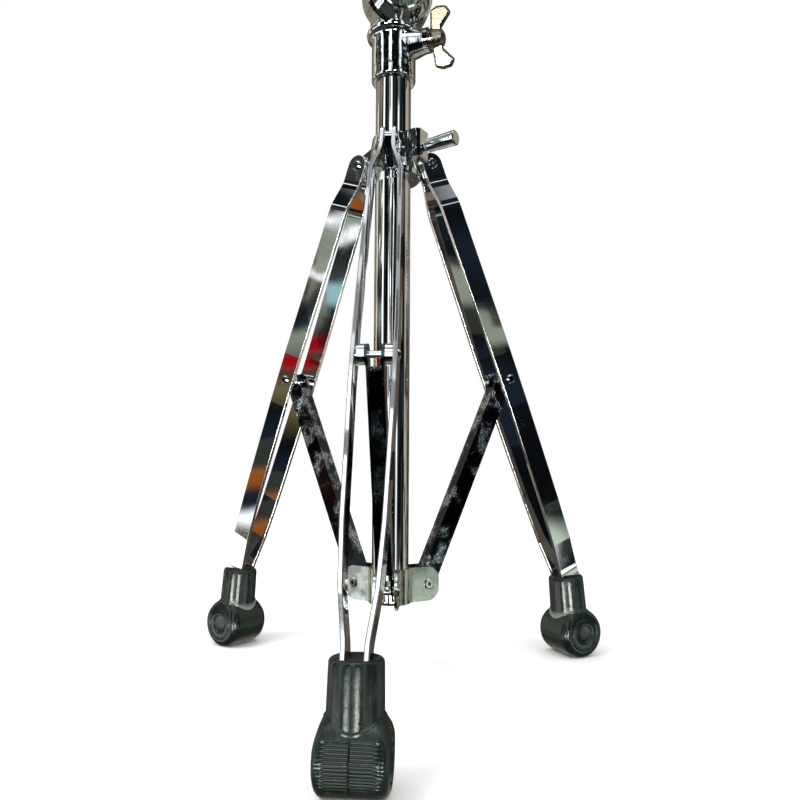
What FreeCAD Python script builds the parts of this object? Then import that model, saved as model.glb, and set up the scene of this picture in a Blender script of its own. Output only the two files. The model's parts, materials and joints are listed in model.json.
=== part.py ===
import FreeCAD, Part
import math
import os
import Sketcher
from FreeCAD import Placement, Rotation, Vector

# A double-strip tripod cymbal boom stand, in millimetres.
# The origin is on the axis of the main tube at floor level, +Z is up and the front leg points to -Y.
# Every sub-part takes its sizes from the Dimensions sheet.

os.makedirs("parts", exist_ok=True)
doc = FreeCAD.newDocument("cymbal_boom_stand")
sheet = doc.addObject("Spreadsheet::Sheet", "Dimensions")

DIMENSIONS = [
    # the telescoping tubes
    ("main_radius", 14.3, "outside of the main tube"),
    ("main_wall", 1.4, "wall of the main tube"),
    ("main_bottom", 60, "lower end of the main tube above the floor"),
    ("middle_radius", 11.1, "outside of the middle tube"),
    ("middle_wall", 1.2, "wall of the middle tube"),
    ("middle_bottom", 300, "hidden lower end of the middle tube"),
    ("top_radius", 7.95, "outside of the top tube"),
    ("top_wall", 1.2, "wall of the top tube"),
    ("top_bottom", 600, "hidden lower end of the top tube"),
    ("running_gap", 0.05, "radial clearance of parts that turn or slide on each other"),
    ("side_gap", 0.3, "clearance between faces that pass each other"),
    # the tripod: pivots in the plane of each leg, out from the tube axis and up from the floor
    ("leg_pivot_out", 33, "top rivet of a leg, from the tube axis"),
    ("leg_pivot_up", 410, "top rivet of a leg, above the floor"),
    ("leg_tilt", 21.5, "degrees between a leg and the tube"),
    ("strut_joint_along", 189, "middle rivet, down the leg from the top rivet"),
    ("strut_foot_out", 29, "lower rivet of a strut, from the tube axis"),
    ("strut_foot_up", 71, "lower rivet of a strut, above the floor"),
    ("neck_along", 369, "where the strips enter the foot, down the leg"),
    # the strips of a leg
    ("strip_width", 18.5, "width of a strip"),
    ("strip_thick", 3, "thickness of a strip"),
    ("strip_top_gap", 3, "inner face of a strip from the leg's middle, at the collar"),
    ("strip_shoulder_gap", 9.5, "the same below the joggle"),
    ("strip_joint_gap", 12, "the same at the strut"),
    ("strip_shin_gap", 10.4, "the same above the ankle"),
    ("strip_ankle_gap", 4.7, "the same where the strips enter the foot"),
    ("joggle_start", 16, "start of the joggle, down the leg"),
    ("joggle_end", 36, "end of the joggle, down the leg"),
    ("parallel_half", 22, "half the parallel stretch about the middle rivet"),
    ("shin_along", 300, "start of the bend towards the ankle, down the leg"),
    ("calf_along", 336, "middle of the bend towards the ankle, down the leg"),
    ("calf_gap", 8.6, "inner face of a strip there"),
    ("bend_radius", 26, "inner radius of the joggle's bends"),
    ("ankle_radius", 60, "inner radius of the ankle's bends"),
    ("strip_insert", 14, "length of the strips inside the foot"),
    ("edge_round", 0.6, "rounding of pressed steel edges"),
    # the struts
    ("strut_width", 11.7, "outside width of a strut's channel"),
    ("strut_deep", 14, "depth of a strut's channel"),
    ("strut_sheet", 1.5, "sheet thickness of a strut"),
    ("web_stop", 10, "how far a strut's web stops short of its rivets"),
    ("slot_travel", 4.2, "length of the slot at a strut's lower rivet"),
    ("slot_play", 1, "extra half width of that slot"),
    # rivets and spacers
    ("top_rivet_radius", 2.6, "shank of a top rivet"),
    ("top_rivet_head", 4.1, "head of a top rivet"),
    ("rivet_hollow", 1.5, "hollow of a rivet"),
    ("middle_rivet_radius", 2.4, "shank of a middle rivet"),
    ("middle_rivet_head", 3.65, "head of a middle rivet"),
    ("lower_rivet_radius", 2.5, "shank of a lower rivet"),
    ("lower_rivet_head", 4, "head of a lower rivet"),
    ("head_thick", 1.3, "height of a rivet's head"),
    ("spacer_radius", 6.9, "outside of a leg spacer"),
    # the feet
    ("foot_out", 172.6, "middle of a foot's drum, from the tube axis"),
    ("drum_radius", 20.5, "radius of a foot's drum"),
    ("drum_flat", 10, "width of the flat that a foot stands on"),
    ("drum_half", 19.3, "half length of a drum with its domed ends"),
    ("drum_straight_half", 14.8, "half length of a drum without its domes"),
    ("neck_radius", 14.7, "radius of a foot's neck at its top"),
    ("neck_root_radius", 15.6, "radius of a foot's neck at its root"),
    ("neck_lean", 5.2, "degrees that a neck leans in"),
    # the stamped plates of the lower collar
    ("plate_bottom", 58, "lower edge of the lower collar"),
    ("plate_tall", 26, "height of the lower collar"),
    ("plate_thick", 2, "thickness of a stamped plate"),
    ("ear_gap", 6.8, "inner face of an ear from the leg's middle"),
    ("ear_out", 38, "end of an ear, from the tube axis"),
    ("ear_round", 10, "rounded corner of an ear"),
    # the sliding collar
    ("collar_bottom", 391, "lower edge of the sliding collar"),
    ("collar_tall", 35, "height of the sliding collar"),
    ("collar_foot_radius", 22, "outside of the sliding collar at its lower edge"),
    ("collar_neck_radius", 16.6, "outside of the sliding collar at its upper edge"),
    ("lug_thick", 5.4, "thickness of a leg lug"),
    ("boss_out", 30, "end of the bolt boss, from the tube axis"),
    ("boss_wide", 15, "width of the bolt boss"),
    ("boss_bottom", 402.5, "lower edge of the bolt boss"),
    ("boss_tall", 23, "height of the bolt boss"),
    ("thumb_up", 411.5, "axis of the thumb bolt above the floor"),
    ("thumb_end", 59, "end of the thumb bolt, from the tube axis"),
    ("thumb_radius", 5.7, "end radius of the thumb bolt"),
    ("thumb_root_radius", 5.1, "root radius of the thumb bolt's grip"),
    ("thumb_shank_radius", 3, "shank of the thumb bolt"),
    # the height clamps: the lower one on the main tube, the upper one on the middle tube
    ("clamp_bottom", 473, "lower rim of the lower height clamp"),
    ("clamp_tall", 96, "height of the lower height clamp"),
    ("clamp_seat", 22, "how far the main tube enters the clamp"),
    ("clamp_wall", 3.7, "wall of a clamp's sleeve"),
    ("clamp_bead", 41, "middle of the bead above a clamp's lower rim"),
    ("clamp_eye_up", 65, "middle of the round face above the lower rim"),
    ("clamp_eye_rim", 27.5, "radius of the round face's rim"),
    ("clamp_eye_radius", 20.5, "radius of the round face"),
    ("clamp_bolt_up", 31, "axis of the wing bolt above the lower rim"),
    ("clamp_bolt_out", 31, "end of the wing bolt's boss, from the tube axis"),
    ("upper_clamp_bottom", 716, "lower rim of the upper height clamp"),
    ("upper_scale", 0.8, "size of the upper clamp's outside against the lower one"),
    ("wing_shank", 4, "shank radius of a wing bolt"),
    ("wing_span", 46, "span of a height clamp's wing bolt"),
    ("wing_thick", 6, "thickness of its wings"),
    ("memory_tall", 18, "height of the memory lock"),
    ("memory_radius", 17.5, "outside of the memory lock"),
    # the boom and its tilter
    ("tilter_up", 948, "axis of the boom tilter above the floor"),
    ("tilter_radius", 17, "radius of the tilter's discs"),
    ("tilter_thick", 10, "thickness of one tilter disc"),
    ("top_seat", 20, "how far the top tube enters the tilter"),
    ("boom_side", 21, "boom axis from the stand's middle plane"),
    ("boom_tilt", 38, "degrees between the boom and the tube"),
    ("boom_radius", 6.35, "outside of the boom arm"),
    ("boom_back", 95, "boom arm behind the tilter"),
    ("boom_front", 240, "boom arm ahead of the tilter"),
    ("boom_block_radius", 11.5, "outside of the block that holds the boom"),
    ("boom_block_half", 18, "half length of that block"),
    # the cymbal tilter and what sits on its rod
    ("cymbal_axis_along", 262, "axis of the cymbal tilter along the boom"),
    ("cymbal_disc", 12, "radius of the cymbal tilter's discs"),
    ("cymbal_disc_thick", 8.8, "thickness of one disc"),
    ("rod_radius", 4, "cymbal rod"),
    ("rod_tall", 92, "length of the rod above the cymbal tilter's axis"),
    ("thread_start", 65, "height above the cymbal tilter's axis at which the rod's thread begins"),
    ("thread_radius", 3.6, "pitch radius of the cymbal rod's M8 thread, which is left plain"),
    ("felt_radius", 18, "radius of a felt"),
    ("felt_tall", 9, "height of a felt"),
    ("felt_base", 26, "underside of the lower felt above the cymbal tilter's axis"),
    ("washer_radius", 15, "radius of the cup washer"),
    ("washer_thick", 2, "thickness of the cup washer"),
    ("sleeve_radius", 5.6, "outside of the cymbal sleeve"),
]

LEGS = [("front", -90), ("right", 30), ("left", 150)]
EYE_TURN = 18
WING_TURN = 75
BOSS_TURN = 60


class Size:
    """A size that keeps its value and the sheet expression that gives it."""

    def __init__(self, value, text):
        self.value = value
        self.text = text

    def __add__(self, other):
        other = size(other)
        return Size(self.value + other.value, f"({self.text} + {other.text})")

    def __sub__(self, other):
        other = size(other)
        return Size(self.value - other.value, f"({self.text} - {other.text})")

    def __mul__(self, other):
        other = size(other)
        return Size(self.value * other.value, f"({self.text} * {other.text})")

    def __truediv__(self, other):
        other = size(other)
        return Size(self.value / other.value, f"({self.text} / {other.text})")

    def __neg__(self):
        return Size(-self.value, f"(0 - {self.text})")

    __radd__ = __add__
    __rmul__ = __mul__

    def __rsub__(self, other):
        return size(other) - self


def size(number):
    return number if isinstance(number, Size) else Size(float(number), repr(float(number)))


def sine(angle):
    angle = size(angle)
    return Size(math.sin(math.radians(angle.value)), f"sin({angle.text})")


def cosine(angle):
    angle = size(angle)
    return Size(math.cos(math.radians(angle.value)), f"cos({angle.text})")


def root(number):
    return Size(math.sqrt(number.value), f"sqrt({number.text})")


def arc_sine(number):
    return Size(math.degrees(math.asin(number.value)), f"(asin({number.text}) / 1 deg)")


class Sheet:
    """The Dimensions sheet, with each alias as an attribute."""

    def __init__(self, rows):
        for row, (alias, number, note) in enumerate(rows, start=1):
            sheet.set(f"A{row}", alias)
            sheet.set(f"B{row}", str(number))
            sheet.set(f"C{row}", note)
            sheet.setAlias(f"B{row}", alias)
            setattr(self, alias, Size(float(number), f"Dimensions.{alias}"))


d = Sheet(DIMENSIONS)
doc.recompute()

joint_out = d.leg_pivot_out + d.strut_joint_along * sine(d.leg_tilt)
joint_up = d.leg_pivot_up - d.strut_joint_along * cosine(d.leg_tilt)
strut_across = joint_out - d.strut_foot_out
strut_rise = joint_up - d.strut_foot_up
strut_long = root(strut_across * strut_across + strut_rise * strut_rise)
strut_tilt = arc_sine(strut_across / strut_long)
drum_up = root(d.drum_radius * d.drum_radius - d.drum_flat * d.drum_flat / 4)

PARTS = []


# Placements


def turned_about_z(angle):
    return Placement(Vector(), Rotation(Vector(0, 0, 1), angle))


def leg_place(azimuth, out, up, tilt=0.0):
    """A frame in a leg's plane: X out, Y across the leg, Z up, then tilted about Y."""
    shift = Placement(Vector(size(out).value, 0, size(up).value), Rotation())
    return turned_about_z(azimuth) * shift * Placement(Vector(), Rotation(Vector(0, 1, 0), tilt))


def across_leg(azimuth, out, up):
    """The same place with Z across the leg, for rivets and spacers."""
    return leg_place(azimuth, out, up) * Placement(Vector(), Rotation(Vector(1, 0, 0), 90))


def radial_place(angle, out, up):
    """Z points away from the tube axis at this angle, and X points down."""
    return leg_place(angle, out, up, 90)


# Building blocks


def new_body(label):
    body = doc.addObject("PartDesign::Body", label)
    body.Label = label
    return body


def finished(body, placement=None):
    """Gives the sub-part its place and puts it on the list of parts to write."""
    if placement is not None:
        body.Placement = placement
    PARTS.append(body)
    return body


def origin_plane(body, role):
    return next(item for item in body.Origin.OriginFeatures if item.Role == role)


def new_sketch(body, role, offset=None):
    sketch = body.newObject("Sketcher::SketchObject", "Sketch")
    sketch.AttachmentSupport = (origin_plane(body, role), [""])
    sketch.MapMode = "FlatFace"
    if offset is not None:
        sketch.AttachmentOffset = offset
    return sketch


def fix_coordinate(sketch, kind, geometry, point, distance):
    """Holds one coordinate of a sketch point at a size from the sheet."""
    if distance.value == 0:
        axis = -2 if kind == "DistanceX" else -1
        sketch.addConstraint(Sketcher.Constraint("PointOnObject", geometry, point, axis))
        return
    number = sketch.addConstraint(Sketcher.Constraint(kind, -1, 1, geometry, point, distance.value))
    sketch.setExpression(f"Constraints[{number}]", distance.text)


def side_geometry(start, end, bend):
    """A straight side, or an arc when bend is a radius: a positive one bulges to the right of the way."""
    if bend is None:
        return Part.LineSegment(start, end)
    chord = end - start
    half = chord.Length / 2
    sagitta = abs(bend) - math.sqrt(bend * bend - half * half)
    right = Vector(chord.y, -chord.x, 0).normalize()
    middle = (start + end) / 2 + right * math.copysign(sagitta, bend)
    if bend > 0:
        return Part.Arc(start, middle, end)
    return Part.Arc(end, middle, start)


def outline(sketch, corners):
    """A closed outline. A corner is (x, y), or (x, y, bend) where the side that leaves it is an arc."""
    points = [Vector(size(corner[0]).value, size(corner[1]).value, 0) for corner in corners]
    sides = []
    for index, corner in enumerate(corners):
        start = points[index]
        end = points[(index + 1) % len(points)]
        bend = size(corner[2]) if len(corner) > 2 else None
        number = sketch.addGeometry(side_geometry(start, end, bend.value if bend else None))
        first = 2 if bend and bend.value < 0 else 1
        sides.append((number, first, 3 - first))
        if bend:
            limit = sketch.addConstraint(Sketcher.Constraint("Radius", number, abs(bend.value)))
            text = bend.text if bend.value > 0 else f"(0 - {bend.text})"
            sketch.setExpression(f"Constraints[{limit}]", text)
    for index, (number, first, last) in enumerate(sides):
        following = sides[(index + 1) % len(sides)]
        sketch.addConstraint(Sketcher.Constraint("Coincident", number, last, following[0], following[1]))
        fix_coordinate(sketch, "DistanceX", number, first, size(corners[index][0]))
        fix_coordinate(sketch, "DistanceY", number, first, size(corners[index][1]))
    return sketch


def circle(sketch, x, y, radius):
    x, y, radius = size(x), size(y), size(radius)
    number = sketch.addGeometry(Part.Circle(Vector(x.value, y.value, 0), Vector(0, 0, 1), radius.value))
    fix_coordinate(sketch, "DistanceX", number, 3, x)
    fix_coordinate(sketch, "DistanceY", number, 3, y)
    limit = sketch.addConstraint(Sketcher.Constraint("Radius", number, radius.value))
    sketch.setExpression(f"Constraints[{limit}]", radius.text)
    return sketch


def revolve(body, corners, offset=None):
    """Turns an outline of (radius, height) corners about the body's Z axis, or the offset's."""
    sketch = outline(new_sketch(body, "XZ_Plane", offset), corners)
    feature = body.newObject("PartDesign::Revolution", "Turned")
    feature.Profile = sketch
    feature.ReferenceAxis = (sketch, ["V_Axis"])
    return feature


def pad(body, sketch, length, symmetric=False):
    feature = body.newObject("PartDesign::Pad", "Pad")
    feature.Profile = sketch
    feature.setExpression("Length", size(length).text)
    feature.SideType = "Symmetric" if symmetric else "One side"
    return feature


def cut_through(body, sketch):
    """Cuts a sketch right through the body, both ways."""
    feature = body.newObject("PartDesign::Pocket", "Cut")
    feature.Profile = sketch
    feature.Type = "ThroughAll"
    feature.SideType = "Symmetric"
    return feature


def primitive(body, kind, placement, **sizes):
    """A PartDesign cylinder, cone or box, added to or taken from the body."""
    feature = body.newObject(kind, kind.split("::")[1])
    feature.AttachmentSupport = (origin_plane(body, "XY_Plane"), [""])
    feature.MapMode = "FlatFace"
    feature.AttachmentOffset = placement
    for name, value in sizes.items():
        feature.setExpression(name, size(value).text)
    return feature


def add_cylinder(body, placement, radius, length):
    return primitive(body, "PartDesign::AdditiveCylinder", placement, Radius=radius, Height=length)


def cut_cylinder(body, placement, radius, length):
    return primitive(body, "PartDesign::SubtractiveCylinder", placement, Radius=radius, Height=length)


def add_cone(body, placement, start_radius, end_radius, length):
    sizes = {"Radius1": start_radius, "Radius2": end_radius, "Height": length}
    return primitive(body, "PartDesign::AdditiveCone", placement, **sizes)


def round_edges(body, radius, wanted):
    """Rounds those edges of the newest feature that the test wants."""
    doc.recompute()
    base = body.Tip
    names = [f"Edge{number}" for number, edge in enumerate(base.Shape.Edges, start=1) if wanted(edge)]
    feature = body.newObject("PartDesign::Fillet", "Rounded")
    feature.Base = (base, names)
    feature.setExpression("Radius", size(radius).text)
    return feature


def runs_along(edge, axis):
    """True for a straight edge parallel to the axis."""
    if edge.Curve.TypeId != "Part::GeomLine":
        return False
    return abs(abs(edge.Curve.Direction.dot(axis)) - 1) < 1e-6


def ring(inner, outer, bottom, top):
    return [(inner, bottom), (outer, bottom), (outer, top), (inner, top)]


def turned_part(label, corners, placement=None):
    body = new_body(label)
    revolve(body, corners)
    return finished(body, placement)


def tube(label, radius, wall, bottom, top, placement=None):
    return turned_part(label, ring(radius - wall, radius, bottom, top), placement)


def rivet_corners(shank, head, half):
    """Half section of a hollow rivet whose heads start half a length each side of the middle."""
    crown = head - 0.9
    return [
        (d.rivet_hollow, -half - d.head_thick),
        (crown, -half - d.head_thick),
        (head, -half - 0.4),
        (head, -half),
        (shank, -half),
        (shank, half),
        (head, half),
        (head, half + 0.4),
        (crown, half + d.head_thick),
        (d.rivet_hollow, half + d.head_thick),
    ]


def group(label, bodies):
    """Identical fasteners as one sub-part of separate solids."""
    compound = doc.addObject("Part::Compound", label)
    compound.Label = label
    compound.Links = bodies
    PARTS.append(compound)


# The main tube and the nylon plug in its lower end

clamp_seat_top = d.clamp_bottom + d.clamp_seat
tube("lower_tube", d.main_radius, d.main_wall, d.main_bottom, clamp_seat_top)

plug_radius = d.main_radius - d.main_wall
turned_part(
    "tube_end_plug",
    [
        (0, d.main_bottom - 3.2),
        (d.main_radius - 5, d.main_bottom - 3.2, 7),
        (d.main_radius - 0.2, d.main_bottom),
        (plug_radius, d.main_bottom),
        (plug_radius, d.main_bottom + 14),
        (0, d.main_bottom + 14),
    ],
)


# The lower collar: three stamped plates round the tube, with two ears each


def plate_point(angle, out, across):
    """A point in plan, out along a direction and across it to the left."""
    return (out * cosine(angle) - across * sine(angle), out * sine(angle) + across * cosine(angle))


def collar_plate(label, azimuth):
    body = new_body(label)
    outer_gap = d.ear_gap + d.plate_thick
    wrap_outer = d.main_radius + d.plate_thick
    inner_start = root(d.main_radius * d.main_radius - d.ear_gap * d.ear_gap)
    outer_start = root(wrap_outer * wrap_outer - outer_gap * outer_gap)
    corners = [
        plate_point(-60, d.ear_out, outer_gap),
        plate_point(-60, outer_start, outer_gap) + (wrap_outer,),
        plate_point(60, outer_start, -outer_gap),
        plate_point(60, d.ear_out, -outer_gap),
        plate_point(60, d.ear_out, -d.ear_gap),
        plate_point(60, inner_start, -d.ear_gap) + (-d.main_radius,),
        plate_point(-60, inner_start, d.ear_gap),
        plate_point(-60, d.ear_out, d.ear_gap),
    ]
    pad(body, outline(new_sketch(body, "XY_Plane"), corners), d.plate_tall)

    def ear_corner(edge):
        centre = edge.CenterOfMass
        reach = math.hypot(centre.x, centre.y)
        return edge.Length < 2.5 and reach > 36 and abs(edge.Curve.Direction.z) < 0.1

    def outer_crease(edge):
        centre = edge.CenterOfMass
        return runs_along(edge, Vector(0, 0, 1)) and 15 < math.hypot(centre.x, centre.y) < 20

    round_edges(body, d.ear_round, ear_corner)
    round_edges(body, 3.5, outer_crease)
    for side in (-60, 60):
        hole = leg_place(side, d.strut_foot_out, d.strut_foot_up - d.plate_bottom)
        hole = hole * Placement(Vector(0, 15, 0), Rotation(Vector(1, 0, 0), 90))
        cut_cylinder(body, hole, d.lower_rivet_radius, 30)
    lift = Placement(Vector(0, 0, d.plate_bottom.value), Rotation())
    return finished(body, turned_about_z(azimuth) * lift)


for plate_label, plate_azimuth in (
    ("collar_plate_front_right", -30),
    ("collar_plate_rear", 90),
    ("collar_plate_front_left", 210),
):
    collar_plate(plate_label, plate_azimuth)

lower_rivets = []
for leg, azimuth in LEGS:
    body = new_body(f"lower_rivet_{leg}")
    revolve(body, rivet_corners(d.lower_rivet_radius, d.lower_rivet_head, d.ear_gap + d.plate_thick))
    body.Placement = across_leg(azimuth, d.strut_foot_out, d.strut_foot_up)
    lower_rivets.append(body)
group("lower_rivets", lower_rivets)


# The sliding collar: a conical casting with three leg lugs and a bolt boss


def sliding_collar():
    body = new_body("upper_collar")
    top = d.collar_bottom + d.collar_tall
    revolve(
        body,
        [
            (0, d.collar_bottom),
            (d.collar_foot_radius - 1, d.collar_bottom),
            (d.collar_foot_radius, d.collar_bottom + 1),
            (d.collar_foot_radius, d.collar_bottom + 5, -60),
            (d.collar_neck_radius + 1.4, top - 9),
            (d.collar_neck_radius, top - 1),
            (d.collar_neck_radius - 1, top),
            (0, top),
        ],
    )
    sketch = new_sketch(body, "XZ_Plane")
    nose = d.leg_pivot_out + 6.5
    outline(
        sketch,
        [
            (2, d.collar_bottom + 2),
            (d.collar_foot_radius, d.collar_bottom + 2),
            (d.leg_pivot_out + 1, d.leg_pivot_up - 7, -30),
            (nose, d.leg_pivot_up, 7),
            (d.leg_pivot_out + 2, d.leg_pivot_up + 6),
            (d.collar_neck_radius, top - 2),
            (2, top - 2),
        ],
    )
    circle(sketch, d.leg_pivot_out, d.leg_pivot_up, d.top_rivet_radius)
    lug = pad(body, sketch, d.lug_thick, symmetric=True)
    doc.recompute()
    pattern = body.newObject("PartDesign::PolarPattern", "Lugs")
    pattern.Originals = [lug]
    pattern.Axis = (origin_axis(body, "Z_Axis"), [""])
    pattern.Occurrences = 3
    body.Tip = pattern
    boss_place = Placement(Vector(0, 0, d.boss_bottom.value), Rotation(Vector(0, 0, 1), BOSS_TURN))
    boss = new_sketch(body, "XY_Plane", boss_place)
    half = d.boss_wide / 2
    outline(
        boss,
        [
            (2, -half),
            (d.boss_out - 2, -half),
            (d.boss_out, 2 - half),
            (d.boss_out, half - 2),
            (d.boss_out - 2, half),
            (2, half),
        ],
    )
    pad(body, boss, d.boss_tall)
    bore = circle(new_sketch(body, "XY_Plane"), 0, 0, d.main_radius + d.running_gap)
    cut_through(body, bore)
    bolt_hole = radial_place(BOSS_TURN, 8, d.thumb_up)
    cut_cylinder(body, bolt_hole, d.thumb_shank_radius + d.running_gap, d.boss_out)

    boss_levels = (d.boss_bottom.value, d.boss_bottom.value + d.boss_tall.value)

    def boss_edge(edge):
        centre = edge.CenterOfMass
        at_end = min(abs(centre.z - level) for level in boss_levels) < 0.01
        return at_end and math.hypot(centre.x, centre.y) > 26

    round_edges(body, 0.9, boss_edge)
    return finished(body, turned_about_z(-90))


def origin_axis(body, role):
    return next(item for item in body.Origin.OriginFeatures if item.Role == role)


sliding_collar()

top_rivets = []
top_rivet_half = d.strip_top_gap + d.strip_thick + 0.1
for leg, azimuth in LEGS:
    body = new_body(f"top_rivet_{leg}")
    revolve(body, rivet_corners(d.top_rivet_radius, d.top_rivet_head, top_rivet_half))
    body.Placement = across_leg(azimuth, d.leg_pivot_out, d.leg_pivot_up)
    top_rivets.append(body)
group("leg_top_rivets", top_rivets)

thumb_start = d.main_radius + 1
turned_part(
    "collar_thumb_bolt",
    [
        (0, thumb_start),
        (d.thumb_shank_radius - 0.6, thumb_start),
        (d.thumb_shank_radius, thumb_start + 0.6),
        (d.thumb_shank_radius, d.boss_out + 0.4),
        (d.thumb_root_radius - 1.6, d.boss_out + 0.4),
        (d.thumb_root_radius - 1.6, d.boss_out + 2.2),
        (d.thumb_root_radius - 0.6, d.boss_out + 3.4),
        (d.thumb_root_radius, d.boss_out + 4.4),
        (d.thumb_radius, d.thumb_end - 0.9),
        (d.thumb_radius - 0.8, d.thumb_end),
        (0, d.thumb_end),
    ],
    radial_place(BOSS_TURN - 90, 0, d.thumb_up),
)


# The legs: two joggled strips, a middle rivet with two spacers, a strut and a rubber foot each


def strip_path():
    """(inner gap, height) points down a strip, from its top end to its end in the foot."""
    joint = d.strut_joint_along
    return [
        (d.strip_top_gap, d.strip_width / 2),
        (d.strip_top_gap, -d.joggle_start),
        (d.strip_shoulder_gap, -d.joggle_end),
        (d.strip_joint_gap, d.parallel_half - joint),
        (d.strip_joint_gap, -joint - d.parallel_half),
        (d.strip_shin_gap, -d.shin_along),
        (d.calf_gap, -d.calf_along),
        (d.strip_ankle_gap, 5 - d.neck_along),
        (d.strip_ankle_gap, -d.neck_along - d.strip_insert),
    ]


def leg_strip(label, side, placement):
    body = new_body(label)
    inner = [(gap * side, height) for gap, height in strip_path()]
    outer = [((gap + d.strip_thick) * side, height) for gap, height in reversed(strip_path())]
    pad(body, outline(new_sketch(body, "YZ_Plane"), inner + outer), d.strip_width, symmetric=True)
    across = Vector(1, 0, 0)
    through = Vector(0, 1, 0)
    half = d.strip_width.value / 2
    lowest = -d.neck_along.value - d.strip_insert.value

    def joggle_bend(edge):
        level = edge.CenterOfMass.z
        return runs_along(edge, across) and -d.joggle_end.value - 1 < level < -1

    def lower_bend(edge):
        level = edge.CenterOfMass.z
        return runs_along(edge, across) and lowest + 1 < level < -d.joggle_end.value - 1

    def top_corner(edge):
        return runs_along(edge, through) and edge.CenterOfMass.z > half - 0.1

    def long_edge(edge):
        centre = edge.CenterOfMass
        on_side = abs(abs(centre.x) - half) < 0.01 and not runs_along(edge, through)
        on_end = centre.z > 0.5 and edge.Curve.TypeId == "Part::GeomCircle" and not edge.isClosed()
        return on_side or on_end

    round_edges(body, d.bend_radius, joggle_bend)
    round_edges(body, d.ankle_radius, lower_bend)
    round_edges(body, half - 0.02, top_corner)
    holes = new_sketch(body, "XZ_Plane")
    circle(holes, 0, 0, d.top_rivet_radius + d.running_gap)
    circle(holes, 0, -d.strut_joint_along, d.middle_rivet_radius)
    cut_through(body, holes)
    round_edges(body, d.edge_round, long_edge)
    return finished(body, placement)


def strut(label, placement):
    """A channel whose web faces the tube, with its flanges round the rivets at both ends."""
    body = new_body(label)
    half = d.strut_deep / 2
    past_end = 12
    side = new_sketch(body, "XZ_Plane")
    outline(
        side,
        [
            (half, 0, half),
            (0, half, half),
            (-half, 0),
            (-half, -strut_long, half),
            (0, -strut_long - half, half),
            (half, -strut_long),
        ],
    )
    pad(body, side, d.strut_width, symmetric=True)
    web_face = Placement(Vector(0, 0, d.strut_sheet.value - half.value), Rotation())
    hollow = new_sketch(body, "YZ_Plane", web_face)
    inside = d.strut_width / 2 - d.strut_sheet
    outline(
        hollow,
        [
            (-inside, past_end),
            (-inside, -strut_long - past_end),
            (inside, -strut_long - past_end),
            (inside, past_end),
        ],
    )
    channel = body.newObject("PartDesign::Pocket", "Channel")
    channel.Profile = hollow
    channel.Type = "ThroughAll"
    channel.Reversed = True
    ends = new_sketch(body, "YZ_Plane")
    outline(ends, [(-inside, past_end), (-inside, -d.web_stop), (inside, -d.web_stop), (inside, past_end)])
    outline(
        ends,
        [
            (-inside, d.web_stop - strut_long),
            (-inside, -strut_long - past_end),
            (inside, -strut_long - past_end),
            (inside, d.web_stop - strut_long),
        ],
    )
    cut_through(body, ends)
    holes = new_sketch(body, "XZ_Plane")
    circle(holes, 0, 0, d.middle_rivet_radius + d.running_gap)
    wide = d.lower_rivet_radius + d.slot_play
    slot_top = d.slot_travel - strut_long
    outline(
        holes,
        [
            (wide, -strut_long),
            (wide, slot_top, wide),
            (0, slot_top + wide, wide),
            (-wide, slot_top),
            (-wide, -strut_long, wide),
            (0, -strut_long - wide, wide),
        ],
    )
    cut_through(body, holes)
    return finished(body, placement)


def foot(label, placement):
    """A rubber drum on its side with a leaning neck, slotted for the two strips."""
    body = new_body(label)
    revolve(
        body,
        [
            (0, -d.drum_half),
            (d.drum_radius - 8.5, -d.drum_half, 14),
            (d.drum_radius, -d.drum_straight_half),
            (d.drum_radius, d.drum_straight_half, 14),
            (d.drum_radius - 8.5, d.drum_half),
            (0, d.drum_half),
        ],
        offset=Placement(Vector(), Rotation(Vector(1, 0, 0), 90)),
    )
    neck_top = (d.leg_pivot_up - d.neck_along * cosine(d.leg_tilt) - drum_up) / cosine(d.neck_lean)
    leaning = Placement(Vector(), Rotation(Vector(0, 0, 1), d.neck_lean.value))
    revolve(
        body,
        [
            (0, 0),
            (d.neck_root_radius, 0),
            (d.neck_radius, neck_top - 2.5, 2.5),
            (d.neck_radius - 2.5, neck_top),
            (0, neck_top),
        ],
        offset=leaning,
    )
    sole = new_sketch(body, "XZ_Plane")
    outline(sole, [(-30, -30), (30, -30), (30, -drum_up), (-30, -drum_up)])
    cut_through(body, sole)
    entry_out = d.leg_pivot_out + d.neck_along * sine(d.leg_tilt) - d.foot_out
    entry_up = d.leg_pivot_up - d.neck_along * cosine(d.leg_tilt) - drum_up
    slope = Rotation(Vector(0, 1, 0), -d.leg_tilt.value)
    entry = Placement(Vector(entry_out.value, 0, entry_up.value), slope)
    for side in (-1, 1):
        low = d.strip_ankle_gap.value if side > 0 else -d.strip_ankle_gap.value - d.strip_thick.value
        corner = Placement(Vector(-d.strip_width.value / 2, low, -d.strip_insert.value), Rotation())
        primitive(
            body,
            "PartDesign::SubtractiveBox",
            entry * corner,
            Length=d.strip_width,
            Width=d.strip_thick,
            Height=d.strip_insert + 20,
        )
    return finished(body, placement)


def spacers(leg, azimuth):
    """The two sleeves that hold the strips apart at the middle rivet."""
    start = d.strut_width / 2 + d.side_gap
    sleeves = []
    for side, low, high in (("a", start, d.strip_joint_gap), ("b", -d.strip_joint_gap, -start)):
        body = new_body(f"{leg}_spacer_{side}")
        inner = d.middle_rivet_radius
        outer = d.spacer_radius
        revolve(
            body,
            [
                (inner, low),
                (outer - 0.5, low),
                (outer, low + 0.5),
                (outer, high - 0.5),
                (outer - 0.5, high),
                (inner, high),
            ],
        )
        body.Placement = across_leg(azimuth, joint_out, joint_up)
        sleeves.append(body)
    group(f"{leg}_leg_spacers", sleeves)


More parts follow.
